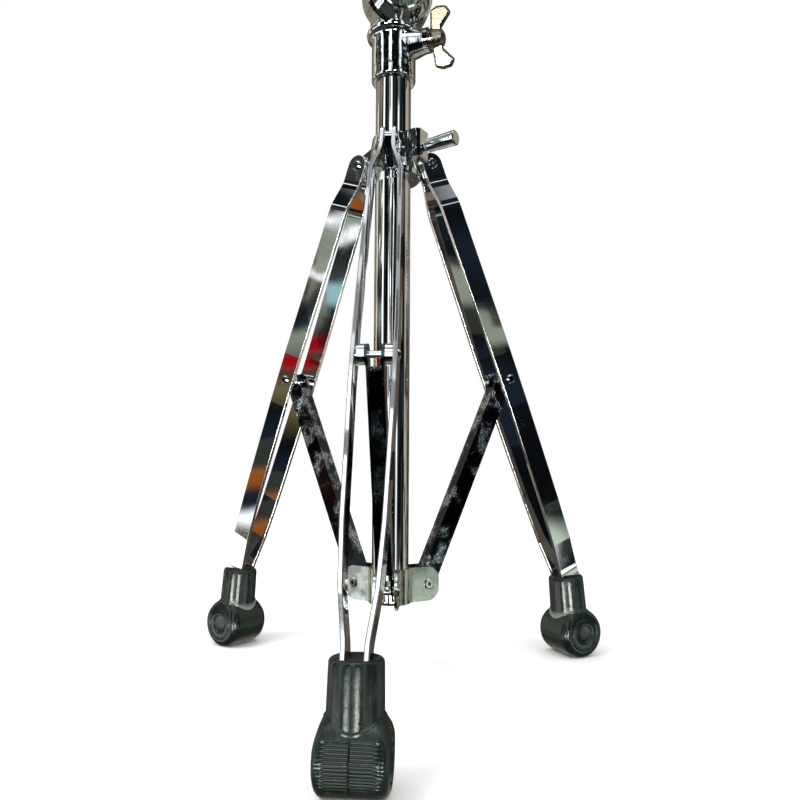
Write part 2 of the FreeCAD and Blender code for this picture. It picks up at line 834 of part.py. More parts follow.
for leg, azimuth in LEGS:
    leg_frame = leg_place(azimuth, d.leg_pivot_out, d.leg_pivot_up, -d.leg_tilt.value)
    leg_strip(f"{leg}_leg_strip_a", 1, leg_frame)
    leg_strip(f"{leg}_leg_strip_b", -1, leg_frame)
    turned_part(
        f"{leg}_middle_rivet",
        rivet_corners(d.middle_rivet_radius, d.middle_rivet_head, d.strip_joint_gap + d.strip_thick),
        across_leg(azimuth, joint_out, joint_up),
    )
    spacers(leg, azimuth)
    strut(f"{leg}_strut", leg_place(azimuth, joint_out, joint_up, strut_tilt.value))
    foot(f"{leg}_foot", leg_place(azimuth, d.foot_out, drum_up))


# The height clamps: a cast sleeve with a round face, a nylon bushing and a wing bolt


def wing_part(label, shank_start, boss_end, span, thick, placement, shank=None):
    """A cast wing bolt along Z: a shank, a hub and two wings."""
    body = new_body(label)
    shank = shank or d.wing_shank
    hub = span * 0.17
    revolve(
        body,
        [
            (0, shank_start),
            (shank - 0.6, shank_start),
            (shank, shank_start + 0.6),
            (shank, boss_end + 0.3),
            (hub, boss_end + 0.3),
            (hub, boss_end + 4),
            (hub - 1.5, boss_end + 11),
            (hub - 4, boss_end + 12.5),
            (0, boss_end + 12.5),
        ],
    )
    reach = span / 2
    flare = span * 0.42
    wings = new_sketch(body, "XZ_Plane")
    outline(
        wings,
        [
            (-hub + 1.5, boss_end + 1.5),
            (hub - 1.5, boss_end + 1.5),
            (reach * 0.62, boss_end + 2.5),
            (reach * 0.9, boss_end + 3),
            (reach, boss_end + flare * 0.45),
            (reach * 0.96, boss_end + flare * 0.83),
            (reach * 0.74, boss_end + flare),
            (hub - 1, boss_end + 10),
            (-hub + 1, boss_end + 10),
            (-reach * 0.74, boss_end + flare),
            (-reach * 0.96, boss_end + flare * 0.83),
            (-reach, boss_end + flare * 0.45),
            (-reach * 0.9, boss_end + 3),
            (-reach * 0.62, boss_end + 2.5),
        ],
    )
    pad(body, wings, thick, symmetric=True)

    def wing_corner(edge):
        centre = edge.CenterOfMass
        return runs_along(edge, Vector(0, 1, 0)) and abs(centre.x) > reach.value * 0.55

    def wing_rim(edge):
        centre = edge.CenterOfMass
        on_face = abs(abs(centre.y) - thick.value / 2) < 0.01
        return on_face and abs(centre.x) > hub.value + 0.5

    round_edges(body, 2.4, wing_corner)
    round_edges(body, thick * 0.3, wing_rim)
    return finished(body, placement)


def height_clamp(label, bottom, tube_radius, inner_radius, scale):
    """The clamp's castings and bushing. The outside is scaled, and the bores fit the tubes."""
    body = new_body(f"{label}_body")
    tall = d.clamp_tall * scale
    sleeve = tube_radius + d.clamp_wall * scale
    bead = d.clamp_bead * scale
    barrel = sleeve + 2.4 * scale
    revolve(
        body,
        [
            (0, 0),
            (sleeve - 1.6, 0, 2.4),
            (sleeve, 2.2),
            (sleeve, bead - 7, -4),
            (barrel, bead - 4, 3.4),
            (barrel, bead + 2, -3),
            (barrel - 1, bead + 5),
            (barrel - 1, tall - 8),
            (sleeve, tall - 2, 3),
            (sleeve - 2, tall),
            (0, tall),
        ],
    )
    eye_up = d.clamp_eye_up * scale
    rim = d.clamp_eye_rim * scale
    face = d.clamp_eye_radius * scale
    eye_out = tube_radius + 2
    add_cylinder(body, radial_place(EYE_TURN, 4, eye_up), rim, eye_out - 1)
    add_cone(body, radial_place(EYE_TURN, eye_out + 3, eye_up), rim, rim - 1.5, 1.5)
    add_cone(body, radial_place(EYE_TURN, eye_out + 4.5, eye_up), rim - 3, face, 7 * scale)
    bolt_up = d.clamp_bolt_up * scale
    boss_end = d.clamp_bolt_out * scale if scale.value < 1 else d.clamp_bolt_out
    add_cone(body, radial_place(WING_TURN, 6, bolt_up), 15 * scale, 9.6 * scale, boss_end - 10)
    add_cylinder(body, radial_place(WING_TURN, 6, bolt_up), 9.6 * scale, boss_end - 6)
    rib = new_sketch(body, "XZ_Plane", Placement(Vector(), Rotation()))
    outline(
        rib,
        [
            (-sleeve - 3.7 * scale, 26 * scale),
            (-sleeve + 3, 22 * scale),
            (-sleeve + 3, 84 * scale),
            (-sleeve - 3.7 * scale, 80 * scale),
        ],
    )
    pad(body, rib, 9 * scale, symmetric=True)
    cut_cylinder(body, Placement(Vector(0, 0, -5), Rotation()), tube_radius, tall + 10)
    cut_cylinder(body, radial_place(WING_TURN, 6, bolt_up), d.wing_shank + d.running_gap, boss_end)
    badge_start = eye_out + 4.5 + 7 * scale - 1.2
    cut_cylinder(body, radial_place(EYE_TURN, badge_start, eye_up), face - 2.4 * scale, 6)
    body_place = Placement(Vector(0, 0, bottom.value), Rotation(Vector(0, 0, 1), -90))
    finished(body, body_place)

    badge_radius = face - 2.4 * scale
    turned_part(
        f"{label}_badge",
        [(0, 0), (badge_radius, 0), (badge_radius, 1), (badge_radius - 1.2, 1.9), (0, 1.9)],
        body_place * radial_place(EYE_TURN, badge_start, eye_up),
    )
    turned_part(
        f"{label}_shoe",
        [
            (0, tube_radius),
            (d.wing_shank, tube_radius),
            (d.wing_shank, tube_radius + 2),
            (0, tube_radius + 2),
        ],
        body_place * radial_place(WING_TURN, 0, bolt_up),
    )
    bush = tube_radius - d.running_gap
    lip = sleeve - 2.4
    turned_part(
        f"{label}_bushing",
        [
            (inner_radius + d.running_gap, d.clamp_seat + d.side_gap),
            (bush, d.clamp_seat + d.side_gap),
            (bush, tall + d.side_gap),
            (lip, tall + d.side_gap),
            (lip, tall + 1.8),
            (lip - 0.8, tall + 2.6),
            (inner_radius + d.running_gap, tall + 2.6),
        ],
        body_place,
    )
    turn = Placement(Vector(), Rotation(Vector(0, 0, 1), 22))
    wing_part(
        f"{label}_wing_bolt",
        tube_radius + 2.3,
        boss_end,
        d.wing_span * scale,
        d.wing_thick * scale,
        body_place * radial_place(WING_TURN, 0, bolt_up) * turn,
    )
    return bottom + tall


lower_clamp_top = height_clamp("height_clamp", d.clamp_bottom, d.main_radius, d.middle_radius, size(1))


# The middle tube with its memory lock, and the upper height clamp on its top

upper_seat_top = d.upper_clamp_bottom + d.clamp_seat
tube("middle_tube", d.middle_radius, d.middle_wall, d.middle_bottom, upper_seat_top)


def memory_lock():
    """A ring round the middle tube with a lug that a key screw closes."""
    body = new_body("memory_lock_ring")
    low = lower_clamp_top + 3
    high = low + d.memory_tall
    outer = d.memory_radius
    revolve(
        body,
        [
            (0, low),
            (outer - 1, low),
            (outer, low + 1),
            (outer, high - 1),
            (outer - 1, high),
            (0, high),
        ],
    )
    middle = low + d.memory_tall / 2
    lug = new_sketch(body, "XY_Plane", Placement(Vector(0, 0, low.value + 2), Rotation()))
    outline(
        lug,
        [
            (5, -7),
            (outer + 8, -7),
            (outer + 10, -5),
            (outer + 10, 5),
            (outer + 8, 7),
            (5, 7),
        ],
    )
    pad(body, lug, d.memory_tall - 4)
    slit = new_sketch(body, "XY_Plane")
    outline(slit, [(6, -0.8), (outer + 20, -0.8), (outer + 20, 0.8), (6, 0.8)])
    cut_through(body, slit)
    cut_through(body, circle(new_sketch(body, "XY_Plane"), 0, 0, d.middle_radius))
    across = Placement(Vector(), Rotation(Vector(1, 0, 0), 90))
    screw_place = leg_place(0, outer + 3.6, middle) * across
    cut_cylinder(body, screw_place * Placement(Vector(0, 0, -10), Rotation()), 2.5, 20)
    finished(body, turned_about_z(60))
    screw = new_body("memory_lock_screw")
    revolve(screw, [(0, -7), (2.5, -7), (2.5, 7), (4.4, 7), (4.4, 9), (3.6, 10), (0, 10)])
    head = new_sketch(screw, "XY_Plane", Placement(Vector(0, 0, 9), Rotation()))
    outline(head, [(-2.6, -2.6), (2.6, -2.6), (2.6, 2.6), (-2.6, 2.6)])
    pad(screw, head, 7)
    finished(screw, turned_about_z(60) * screw_place)


memory_lock()
upper_clamp_top = height_clamp(
    "upper_clamp",
    d.upper_clamp_bottom,
    d.middle_radius,
    d.top_radius,
    d.upper_scale,
)


# The top tube and the boom tilter: two ratchet discs side by side, closed by a wing bolt

SIDEWAYS = Rotation(Vector(0, 1, 0), 90)
sleeve_bottom = d.tilter_up - 45
tube("top_tube", d.top_radius, d.top_wall, d.top_bottom, sleeve_bottom + d.top_seat)


def tilter_base():
    body = new_body("tilter_base")
    sleeve = d.top_radius + 3.6
    revolve(
        body,
        [
            (0, sleeve_bottom),
            (sleeve - 1.5, sleeve_bottom, 2),
            (sleeve, sleeve_bottom + 1.5),
            (sleeve, sleeve_bottom + 26, -12),
            (sleeve - 3.5, sleeve_bottom + 34),
            (0, sleeve_bottom + 34),
        ],
    )
    disc_place = Placement(Vector(-d.tilter_thick.value, 0, d.tilter_up.value), SIDEWAYS)
    neck = new_sketch(body, "YZ_Plane")
    stem_low = sleeve_bottom + 24
    outline(neck, [(-8, stem_low), (8, stem_low), (12, d.tilter_up), (-12, d.tilter_up)])
    stem = body.newObject("PartDesign::Pad", "Stem")
    stem.Profile = neck
    stem.setExpression("Length", d.tilter_thick.text)
    stem.Reversed = True
    add_cylinder(body, disc_place, d.tilter_radius, d.tilter_thick)
    socket = Placement(Vector(0, 0, sleeve_bottom.value - 1), Rotation())
    cut_cylinder(body, socket, d.top_radius, d.top_seat + 1)
    hole = Placement(Vector(-40, 0, d.tilter_up.value), SIDEWAYS)
    cut_cylinder(body, hole, d.wing_shank + d.running_gap, 60)
    trim = Placement(Vector(0, 0, d.tilter_up.value), SIDEWAYS)
    cut_cylinder(body, trim, d.tilter_radius + 2, 30)
    return finished(body)


tilter_base()

boom_direction = Rotation(Vector(1, 0, 0), d.boom_tilt.value)
boom_place = Placement(Vector(d.boom_side.value, 0, d.tilter_up.value), boom_direction)


def tilter_clamp():
    """The moving disc with the block that the boom passes through. Its own Z axis is the boom's."""
    body = new_body("tilter_clamp")
    start = d.side_gap - d.boom_side
    add_cylinder(body, Placement(Vector(start.value, 0, 0), SIDEWAYS), d.tilter_radius, d.tilter_thick)
    half = d.boom_block_half
    block = d.boom_block_radius
    revolve(
        body,
        [
            (0, -half),
            (block - 1.5, -half),
            (block, 1.5 - half),
            (block, half - 1.5),
            (block - 1.5, half),
            (0, half),
        ],
    )
    web = new_sketch(body, "YZ_Plane", Placement(Vector(0, 0, start.value + 1), Rotation()))
    outline(web, [(-9, 2 - half), (9, 2 - half), (9, half - 2), (-9, half - 2)])
    pad(body, web, d.boom_side - 4)
    add_cylinder(body, Placement(Vector(6, 0, 0), SIDEWAYS), 7, 11)
    bore = Placement(Vector(0, 0, -half.value - 5), Rotation())
    cut_cylinder(body, bore, d.boom_radius + d.running_gap, half * 2 + 10)
    hinge_hole = Placement(Vector(start.value - 1, 0, 0), SIDEWAYS)
    cut_cylinder(body, hinge_hole, d.wing_shank + d.running_gap, d.tilter_thick - 1)
    bolt_hole = Placement(Vector(d.boom_radius.value - 1, 0, 0), SIDEWAYS)
    cut_cylinder(body, bolt_hole, d.thumb_shank_radius + d.running_gap, 20)
    return finished(body, boom_place)


tilter_clamp()
wing_part(
    "tilter_wing_bolt",
    size(-8),
    d.tilter_thick,
    size(38),
    size(5.5),
    Placement(Vector(0, 0, d.tilter_up.value), Rotation(Vector(0, 1, 0), -90)),
)
wing_part(
    "boom_wing_bolt",
    d.boom_radius + 0.4,
    size(17),
    size(32),
    size(5),
    boom_place * Placement(Vector(), SIDEWAYS),
    d.thumb_shank_radius,
)


# The boom arm with its rubber end cap

tube("boom_arm", d.boom_radius, size(1.2), -d.boom_back, d.boom_front, boom_place)
turned_part(
    "boom_end_cap",
    [
        (0, -d.boom_back - 4),
        (d.boom_radius, -d.boom_back - 4, 3),
        (d.boom_radius + 2, -d.boom_back - 1.5),
        (d.boom_radius + 2, -d.boom_back + 16),
        (d.boom_radius, -d.boom_back + 17),
        (d.boom_radius, -d.boom_back),
        (0, -d.boom_back),
    ],
    boom_place,
)


# The cymbal tilter on the front end of the boom

disc_half = d.cymbal_disc_thick


def cymbal_tilter_base():
    body = new_body("cymbal_tilter_base")
    low = d.boom_front - 20
    sleeve = d.boom_radius + 2.8
    revolve(
        body,
        [
            (0, low),
            (sleeve - 1, low),
            (sleeve, low + 1),
            (sleeve, low + 24),
            (sleeve - 3, low + 30),
            (0, low + 30),
        ],
    )
    axis_place = Placement(Vector(-disc_half.value, 0, d.cymbal_axis_along.value), SIDEWAYS)
    stem = new_sketch(body, "YZ_Plane")
    outline(stem, [(-6, low + 22), (6, low + 22), (8, d.cymbal_axis_along), (-8, d.cymbal_axis_along)])
    neck = body.newObject("PartDesign::Pad", "Stem")
    neck.Profile = stem
    neck.setExpression("Length", disc_half.text)
    neck.Reversed = True
    add_cylinder(body, axis_place, d.cymbal_disc, disc_half)
    cut_cylinder(body, Placement(Vector(0, 0, low.value - 1), Rotation()), d.boom_radius, size(21))
    hole = Placement(Vector(-30, 0, d.cymbal_axis_along.value), SIDEWAYS)
    cut_cylinder(body, hole, d.thumb_shank_radius + d.running_gap, 60)
    trim = Placement(Vector(0, 0, d.cymbal_axis_along.value), SIDEWAYS)
    cut_cylinder(body, trim, d.cymbal_disc + 2, 20)
    return finished(body, boom_place)


cymbal_tilter_base()

tip = boom_place.multVec(Vector(0, 0, d.cymbal_axis_along.value))
rod_side = d.side_gap + disc_half / 2
head_place = Placement(tip, Rotation())
rod_place = Placement(tip + Vector(rod_side.value, 0, 0), Rotation())


def cymbal_tilter_head():
    body = new_body("cymbal_tilter_head")
    add_cylinder(body, Placement(Vector(d.side_gap.value, 0, 0), SIDEWAYS), d.cymbal_disc, disc_half)
    collar = Placement(Vector(rod_side.value, 0, 4), Rotation())
    add_cylinder(body, collar, 6.5, 18)
    cut_cylinder(body, Placement(Vector(rod_side.value, 0, 8), Rotation()), d.rod_radius, 20)
    hole = Placement(Vector(-5, 0, 0), SIDEWAYS)
    cut_cylinder(body, hole, d.thumb_shank_radius + d.running_gap, disc_half + 4)
    trim = Placement(Vector(d.side_gap.value - 10, 0, 0), SIDEWAYS)
    cut_cylinder(body, trim, d.cymbal_disc + 14, 10)
    return finished(body, head_place)


cymbal_tilter_head()
wing_part(
    "cymbal_tilter_bolt",
    size(-5),
    disc_half,
    size(28),
    size(4.5),
    Placement(tip, Rotation(Vector(0, 1, 0), -90)),
    d.thumb_shank_radius,
)

turned_part(
    "cymbal_rod",
    [
        (0, 8),
        (d.rod_radius, 8),
        (d.rod_radius, d.thread_start),
        (d.thread_radius, d.thread_start),
        (d.thread_radius, d.rod_tall - 1),
        (d.thread_radius - 1, d.rod_tall),
        (0, d.rod_tall),
    ],
    rod_place,
)
washer_low = d.felt_base - d.washer_thick
felt_top = d.felt_base + d.felt_tall
turned_part(
    "cymbal_washer",
    [
        (d.rod_radius, washer_low),
        (d.washer_radius - 2, washer_low),
        (d.washer_radius, washer_low + d.washer_thick / 2),
        (d.washer_radius, d.felt_base),
        (d.rod_radius, d.felt_base),
    ],
    rod_place,
)
upper_felt_base = felt_top + 1
upper_felt_top = upper_felt_base + d.felt_tall
sleeve = ring(d.rod_radius, d.sleeve_radius, d.felt_base, upper_felt_top + 2)
turned_part("cymbal_sleeve", sleeve, rod_place)
lower_felt = ring(d.sleeve_radius, d.felt_radius, d.felt_base, felt_top)
turned_part("lower_felt", lower_felt, rod_place)
upper_felt = ring(d.sleeve_radius, d.felt_radius, upper_felt_base, upper_felt_top)
turned_part("upper_felt", upper_felt, rod_place)


def cymbal_wing_nut():
    body = new_body("cymbal_wing_nut")
    low = upper_felt_top + 2.3
    revolve(body, [(0, low), (8, low), (8, low + 2), (6.5, low + 10), (0, low + 10)])
    wings = new_sketch(body, "XZ_Plane")
    outline(
        wings,
        [
            (-6, low + 2),
            (6, low + 2),
            (13, low + 5),
            (16, low + 10),
            (15, low + 16),
            (11.5, low + 16),
            (5, low + 8),
            (-5, low + 8),
            (-11.5, low + 16),
            (-15, low + 16),
            (-16, low + 10),
            (-13, low + 5),
        ],
    )
    pad(body, wings, 4, symmetric=True)
    cut_through(body, circle(new_sketch(body, "XY_Plane"), 0, 0, d.rod_radius + d.running_gap))
    return finished(body, rod_place)


cymbal_wing_nut()


# Checks, then one file for each sub-part

doc.recompute()
faults = [item.Name for item in doc.Objects if "Invalid" in item.State or "Error" in item.State]
for part in PARTS:
    shape = part.Shape
    if shape.isNull() or not shape.isValid() or not shape.Solids:
        faults.append(part.Label)
if faults:
    raise RuntimeError("these objects failed: " + ", ".join(faults))
if len({part.Label for part in PARTS}) != len(PARTS):
    raise RuntimeError("two sub-parts have the same name")
for part in PARTS:
    part.Shape.exportStep(os.path.join("parts", part.Label + ".step"))
    print(f"{part.Label}: {len(part.Shape.Solids)} solid(s), {part.Shape.Volume:.0f} mm3")
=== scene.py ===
import json
import math

import bmesh
import bpy
from mathutils import Matrix, Vector
from mathutils.noise import fractal


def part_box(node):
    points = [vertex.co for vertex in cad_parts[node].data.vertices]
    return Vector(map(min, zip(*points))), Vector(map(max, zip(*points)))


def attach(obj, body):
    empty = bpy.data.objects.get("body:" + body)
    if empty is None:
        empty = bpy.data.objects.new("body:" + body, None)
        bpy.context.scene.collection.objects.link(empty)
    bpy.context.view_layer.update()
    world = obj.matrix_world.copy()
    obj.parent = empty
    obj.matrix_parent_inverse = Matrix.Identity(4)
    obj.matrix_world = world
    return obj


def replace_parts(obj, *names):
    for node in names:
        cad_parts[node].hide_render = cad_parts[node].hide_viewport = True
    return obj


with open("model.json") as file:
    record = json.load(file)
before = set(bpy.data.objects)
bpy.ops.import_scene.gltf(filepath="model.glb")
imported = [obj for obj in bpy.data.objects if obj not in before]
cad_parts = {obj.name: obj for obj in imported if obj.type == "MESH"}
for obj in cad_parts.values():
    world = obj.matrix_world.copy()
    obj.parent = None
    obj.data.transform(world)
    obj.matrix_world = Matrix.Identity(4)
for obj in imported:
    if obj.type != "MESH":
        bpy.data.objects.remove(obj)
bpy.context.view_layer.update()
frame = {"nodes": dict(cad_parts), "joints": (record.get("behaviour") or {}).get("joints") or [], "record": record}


# ---- Camera -------------------------------------------------------------
# A short lens close to the floor, a little to the right of the front leg.
# It tips up, so the picture ends at the lower height clamp.

EYE = Vector((0.0523, -0.5191, 0.1706))
TURNED_LEFT = math.radians(5)
TIPPED_UP = math.radians(4.7)
ROLLED = math.radians(0.35)

lens = bpy.data.cameras.new("lens")
lens.lens = 29.93
lens.sensor_width = 36
lens.clip_start = 0.01
camera = bpy.data.objects.new("camera", lens)
bpy.context.scene.collection.objects.link(camera)
bpy.context.scene.camera = camera
ahead = Vector((-math.sin(TURNED_LEFT), math.cos(TURNED_LEFT), math.tan(TIPPED_UP))).normalized()
level = ahead.cross(Vector((0, 0, 1))).normalized()
side = level * math.cos(ROLLED) + level.cross(ahead) * math.sin(ROLLED)
axes = Matrix((side, side.cross(ahead), -ahead)).transposed().to_4x4()
camera.matrix_world = Matrix.Translation(EYE) @ axes
bpy.context.scene.view_settings.view_transform = "Standard"


# ---- Studio -------------------------------------------------------------
# A white sweep with a soft box up on the left. Mirror chrome shows what
# stands round it, so dark flags, tan boards and strip lights ring the set;
# they are lit for reflections only, and the sweep stays plain white.


class Flow:
    """A socket whose sums and products become Math nodes in its own tree."""

    def __init__(self, socket):
        self.socket = socket

    def node(self, kind, settings=None, inputs=None, outlet=0):
        """Adds a node of any kind: its settings first, then the values or links of its sockets."""
        tree = self.socket.id_data
        made = tree.nodes.new(kind)
        for name, value in (settings or {}).items():
            if name == "stops":
                lay_stops(made.color_ramp, value)
            else:
                setattr(made, name, value)
        for name, value in (inputs or {}).items():
            if isinstance(value, Flow):
                tree.links.new(value.socket, made.inputs[name])
            else:
                made.inputs[name].default_value = value
        return Flow(made.outputs[outlet])

    def maths(self, operation, *values):
        return self.node("ShaderNodeMath", {"operation": operation}, dict(enumerate(values)))

    def __add__(self, other):
        return self.maths("ADD", self, other)

    def __sub__(self, other):
        return self.maths("SUBTRACT", self, other)

    def __rsub__(self, other):
        return self.maths("SUBTRACT", other, self)

    def __mul__(self, other):
        return self.maths("MULTIPLY", self, other)

    def __truediv__(self, other):
        return self.maths("DIVIDE", self, other)

    __radd__ = __add__
    __rmul__ = __mul__

    def step(self, start, end):
        """0 before start and 1 after end, smooth between."""
        sockets = {"Value": self, "From Min": start, "From Max": end}
        return self.node("ShaderNodeMapRange", {"interpolation_type": "SMOOTHSTEP"}, sockets)

    def between(self, low, high, soft):
        """1 from low to high and 0 outside, with soft edges."""
        return self.step(low - soft, low + soft) * (1 - self.step(high - soft, high + soft))

    def mixed(self, first, second):
        """The first colour where this is 0 and the second where it is 1."""
        sockets = {0: self, 6: first, 7: second}
        return self.node("ShaderNodeMix", {"data_type": "RGBA"}, sockets, 2)

    def part(self, name):
        """X, Y or Z of a vector."""
        return self.node("ShaderNodeSeparateXYZ", None, {0: self}, name)

    def scaled(self, factors):
        return self.node("ShaderNodeVectorMath", {"operation": "MULTIPLY"}, {0: self, 1: factors})


def lay_stops(ramp, stops):
    """Puts (place, colour) stops on a colour ramp."""
    while len(ramp.elements) < len(stops):
        ramp.elements.new(1)
    for element, (place, colour) in zip(ramp.elements, stops):
        element.position = place
        element.color = (*colour, 1)


BLACK = (0.003, 0.004, 0.005)
NAVY = (0.010, 0.016, 0.028)
SLATE = (0.055, 0.062, 0.062)
TEAL = (0.36, 0.62, 0.66)
MOSS = (0.30, 0.34, 0.27)
OLIVE = (0.16, 0.13, 0.055)
BROWN = (0.105, 0.080, 0.066)
TAN = (0.30, 0.265, 0.215)
SAND = (0.50, 0.455, 0.385)
CREAM = (0.95, 0.86, 0.72)
PALE = (0.62, 0.76, 0.62)
RED = (0.36, 0.004, 0.006)
AMBER = (0.33, 0.095, 0.012)
WHITE = (1.9, 1.95, 2.0)
STRIP_LIGHT = (44.0, 47.0, 41.0)

# The ring of boards and lights, by degrees to the right of the front leg.
RING = [
    (-180, BROWN), (-150, BROWN), (-142, TAN), (-118, TAN), (-112, CREAM), (-105, CREAM),
    (-99, BLACK), (-89, SLATE), (-77, BLACK), (-66, WHITE), (-54, WHITE), (-50, SLATE),
    (-46, BLACK), (-21, BLACK), (-17, WHITE), (-5, WHITE), (0, BLACK), (29, BLACK), (35, MOSS),
    (41, WHITE), (46, SLATE), (64, SLATE), (70, BLACK), (91, BLACK), (98, SAND), (112, SAND),
    (125, TAN), (140, BROWN), (170, BROWN), (180, BROWN),
]
# The shelves that the left leg's strips look at, by degrees above the horizon.
LEFT_SHELVES = [
    (-13.5, WHITE), (-12.6, BLACK), (-11.9, OLIVE), (-11, WHITE), (-10, NAVY), (-6.4, NAVY),
    (-5.6, AMBER), (-4.4, AMBER), (-3.8, BLACK), (-1.5, NAVY), (0.6, BLACK), (3.4, OLIVE),
    (5.1, BLACK), (5.7, RED), (7, RED), (7.4, SLATE), (10, MOSS), (11, NAVY), (12.9, BLACK),
    (13.9, TAN), (14.7, OLIVE), (15.4, WHITE), (15.9, BLACK), (18.2, OLIVE), (20.5, MOSS),
    (22.5, BLACK), (24, SLATE), (28, TAN), (30, BLACK), (36, WHITE), (38, BLACK), (60, NAVY),
]
# Nearer the tube, for the left leg's other strip.
INNER_SHELVES = [
    (-13.5, WHITE), (-12, BROWN), (-10.5, WHITE), (-9.5, BROWN), (-6, BLACK), (-4.5, SLATE),
    (-3, RED), (-2, SLATE), (0, BLACK), (3, SLATE), (4.6, BLACK), (5.2, RED), (7, RED),
    (7.4, BLACK), (11.2, BLACK), (11.8, TEAL), (13.4, TEAL), (13.9, SLATE), (16.5, BLACK),
    (17, WHITE), (17.5, MOSS), (20.8, MOSS), (21.6, WHITE), (22.2, BLACK), (24, SLATE),
    (26, BLACK), (34, NAVY), (36, WHITE), (38, BLACK), (60, NAVY),
]
# The same for the right leg's strips.
RIGHT_SHELVES = [
    (-14.5, WHITE), (-13, PALE), (-10, PALE), (-9, BLACK), (-7.5, SLATE), (-6, BLACK), (0, BLACK),
    (2, NAVY), (6, NAVY), (8, BLACK), (10.5, BLACK), (11.5, MOSS), (14.5, MOSS), (15, BLACK),
    (19, NAVY), (22, BLACK), (24.5, NAVY), (25, BLACK), (32, NAVY), (34, MOSS), (35, WHITE),
    (36, BLACK), (40, NAVY), (60, BLACK),
]
# Dark boards on the floor, by the same headings.
APRON = [
    (-180, SAND), (-150, TAN), (-135, BROWN), (-100, SLATE), (-94, BLACK), (-60, SLATE),
    (-20, BLACK), (0, BLACK), (25, BLACK), (60, SLATE), (92, BLACK), (98, SLATE), (135, BROWN),
    (150, TAN), (180, SAND),
]
# The roof, by the same headings.
RAFTERS = [
    (-180, BROWN), (-120, SAND), (-90, WHITE), (-50, SLATE), (-25, WHITE), (-5, SLATE),
    (20, WHITE), (55, BLACK), (80, WHITE), (120, TAN), (180, BROWN),
]
# Where one set of boards gives way to the next, in degrees.
LEFT_SECTOR = (-92, -61)
INNER_EDGE = (-71.8, -71.2)
RIGHT_SECTOR = (52, 76)
APRON_EDGE = (-30, -24)
RAFTER_EDGE = (47, 52)
CEILING_EDGE = (74, 80)
KEY_SIDE = (-0.2, -0.68, 0.70)
FULL_TURN = 360
SHELF_LOW = -25
SHELF_HIGH = 65

world = bpy.data.worlds.new("studio")
bpy.context.scene.world = world
world.use_nodes = True
world.node_tree.nodes.clear()
heading = world.node_tree.nodes.new("ShaderNodeTexCoord")
direction = Flow(heading.outputs["Generated"])
sway = direction.node("ShaderNodeTexNoise", None, {"Vector": direction, "Scale": 7.0, "Detail": 3.0})
turned = direction.part("X").maths("ARCTAN2", direction.part("X"), direction.part("Y") * -1) * math.degrees(1)
raised = direction.part("Z").maths("ARCSINE", direction.part("Z")) * math.degrees(1)
turned = turned + (sway - 0.5) * 6
raised = raised + (sway - 0.5) * 5


def by_angle(angle, low, high, stops):
    """A colour ramp whose stops are given in degrees."""
    laid = [((place - low) / (high - low), colour) for place, colour in stops]
    return angle.node("ShaderNodeValToRGB", {"stops": laid}, {0: (angle - low) / (high - low)})


def all_round(stops):
    """A colour for each heading, right round the set."""
    return by_angle(turned, -FULL_TURN / 2, FULL_TURN / 2, stops)


ring = all_round(RING)
left_shelves = by_angle(raised - 2, SHELF_LOW, SHELF_HIGH, LEFT_SHELVES)
inner_shelves = by_angle(raised, SHELF_LOW, SHELF_HIGH, INNER_SHELVES)
right_shelves = by_angle(raised, SHELF_LOW, SHELF_HIGH, RIGHT_SHELVES)
left_shelves = turned.step(*INNER_EDGE).mixed(left_shelves, inner_shelves)
ring = turned.between(*LEFT_SECTOR, 0.8).mixed(ring, left_shelves)
ring = turned.between(*RIGHT_SECTOR, 1).mixed(ring, right_shelves)
clutter_place = direction.node("ShaderNodeCombineXYZ", None, {"X": turned / 9, "Y": raised / 2.6, "Z": 0.0})
cell = clutter_place.node("ShaderNodeVectorMath", {"operation": "FLOOR"}, {0: clutter_place})
clutter = direction.node("ShaderNodeTexWhiteNoise", {"noise_dimensions": "2D"}, {"Vector": cell})
ring = (clutter.step(0.78, 0.8) * 0.10).mixed(ring, (*MOSS, 1))
ring = ((1 - clutter.step(0.16, 0.18)) * 0.85).mixed(ring, (*BLACK, 1))
apron = all_round(APRON)
rafters = all_round(RAFTERS)
rafters = (clutter.step(0.55, 0.62) * 0.8).mixed(rafters, (*SLATE, 1))
seen = raised.step(*APRON_EDGE).mixed(apron, ring)
standing_light = turned.between(9, 16, 1.5) * raised.between(-20, -8, 1.5)
standing_light = standing_light + turned.between(-32, -24, 1.5) * raised.between(-20, -10.5, 1)
seen = standing_light.mixed(seen, (*STRIP_LIGHT, 1))
seen = raised.step(*RAFTER_EDGE).mixed(seen, rafters)
seen = raised.step(*CEILING_EDGE).mixed(seen, (*WHITE, 1))

rays = world.node_tree.nodes.new("ShaderNodeLightPath")
in_mirror = Flow(rays.outputs["Is Glossy Ray"])
in_lens = Flow(rays.outputs["Is Camera Ray"])
key = {0: direction, 1: KEY_SIDE}
facing_front = direction.node("ShaderNodeVectorMath", {"operation": "DOT_PRODUCT"}, key, 1)
soft_light = facing_front.step(-0.6, 0.8).mixed((0.45, 0.455, 0.46, 1), (1.35, 1.36, 1.36, 1))
glow = in_mirror.mixed(soft_light, seen)
glow = in_lens.mixed(glow, (1.0, 1.0, 1.0, 1))
sky = world.node_tree.nodes.new("ShaderNodeBackground")
world.node_tree.links.new(glow.socket, sky.inputs["Color"])
world_end = world.node_tree.nodes.new("ShaderNodeOutputWorld")
world.node_tree.links.new(sky.outputs["Background"], world_end.inputs["Surface"])

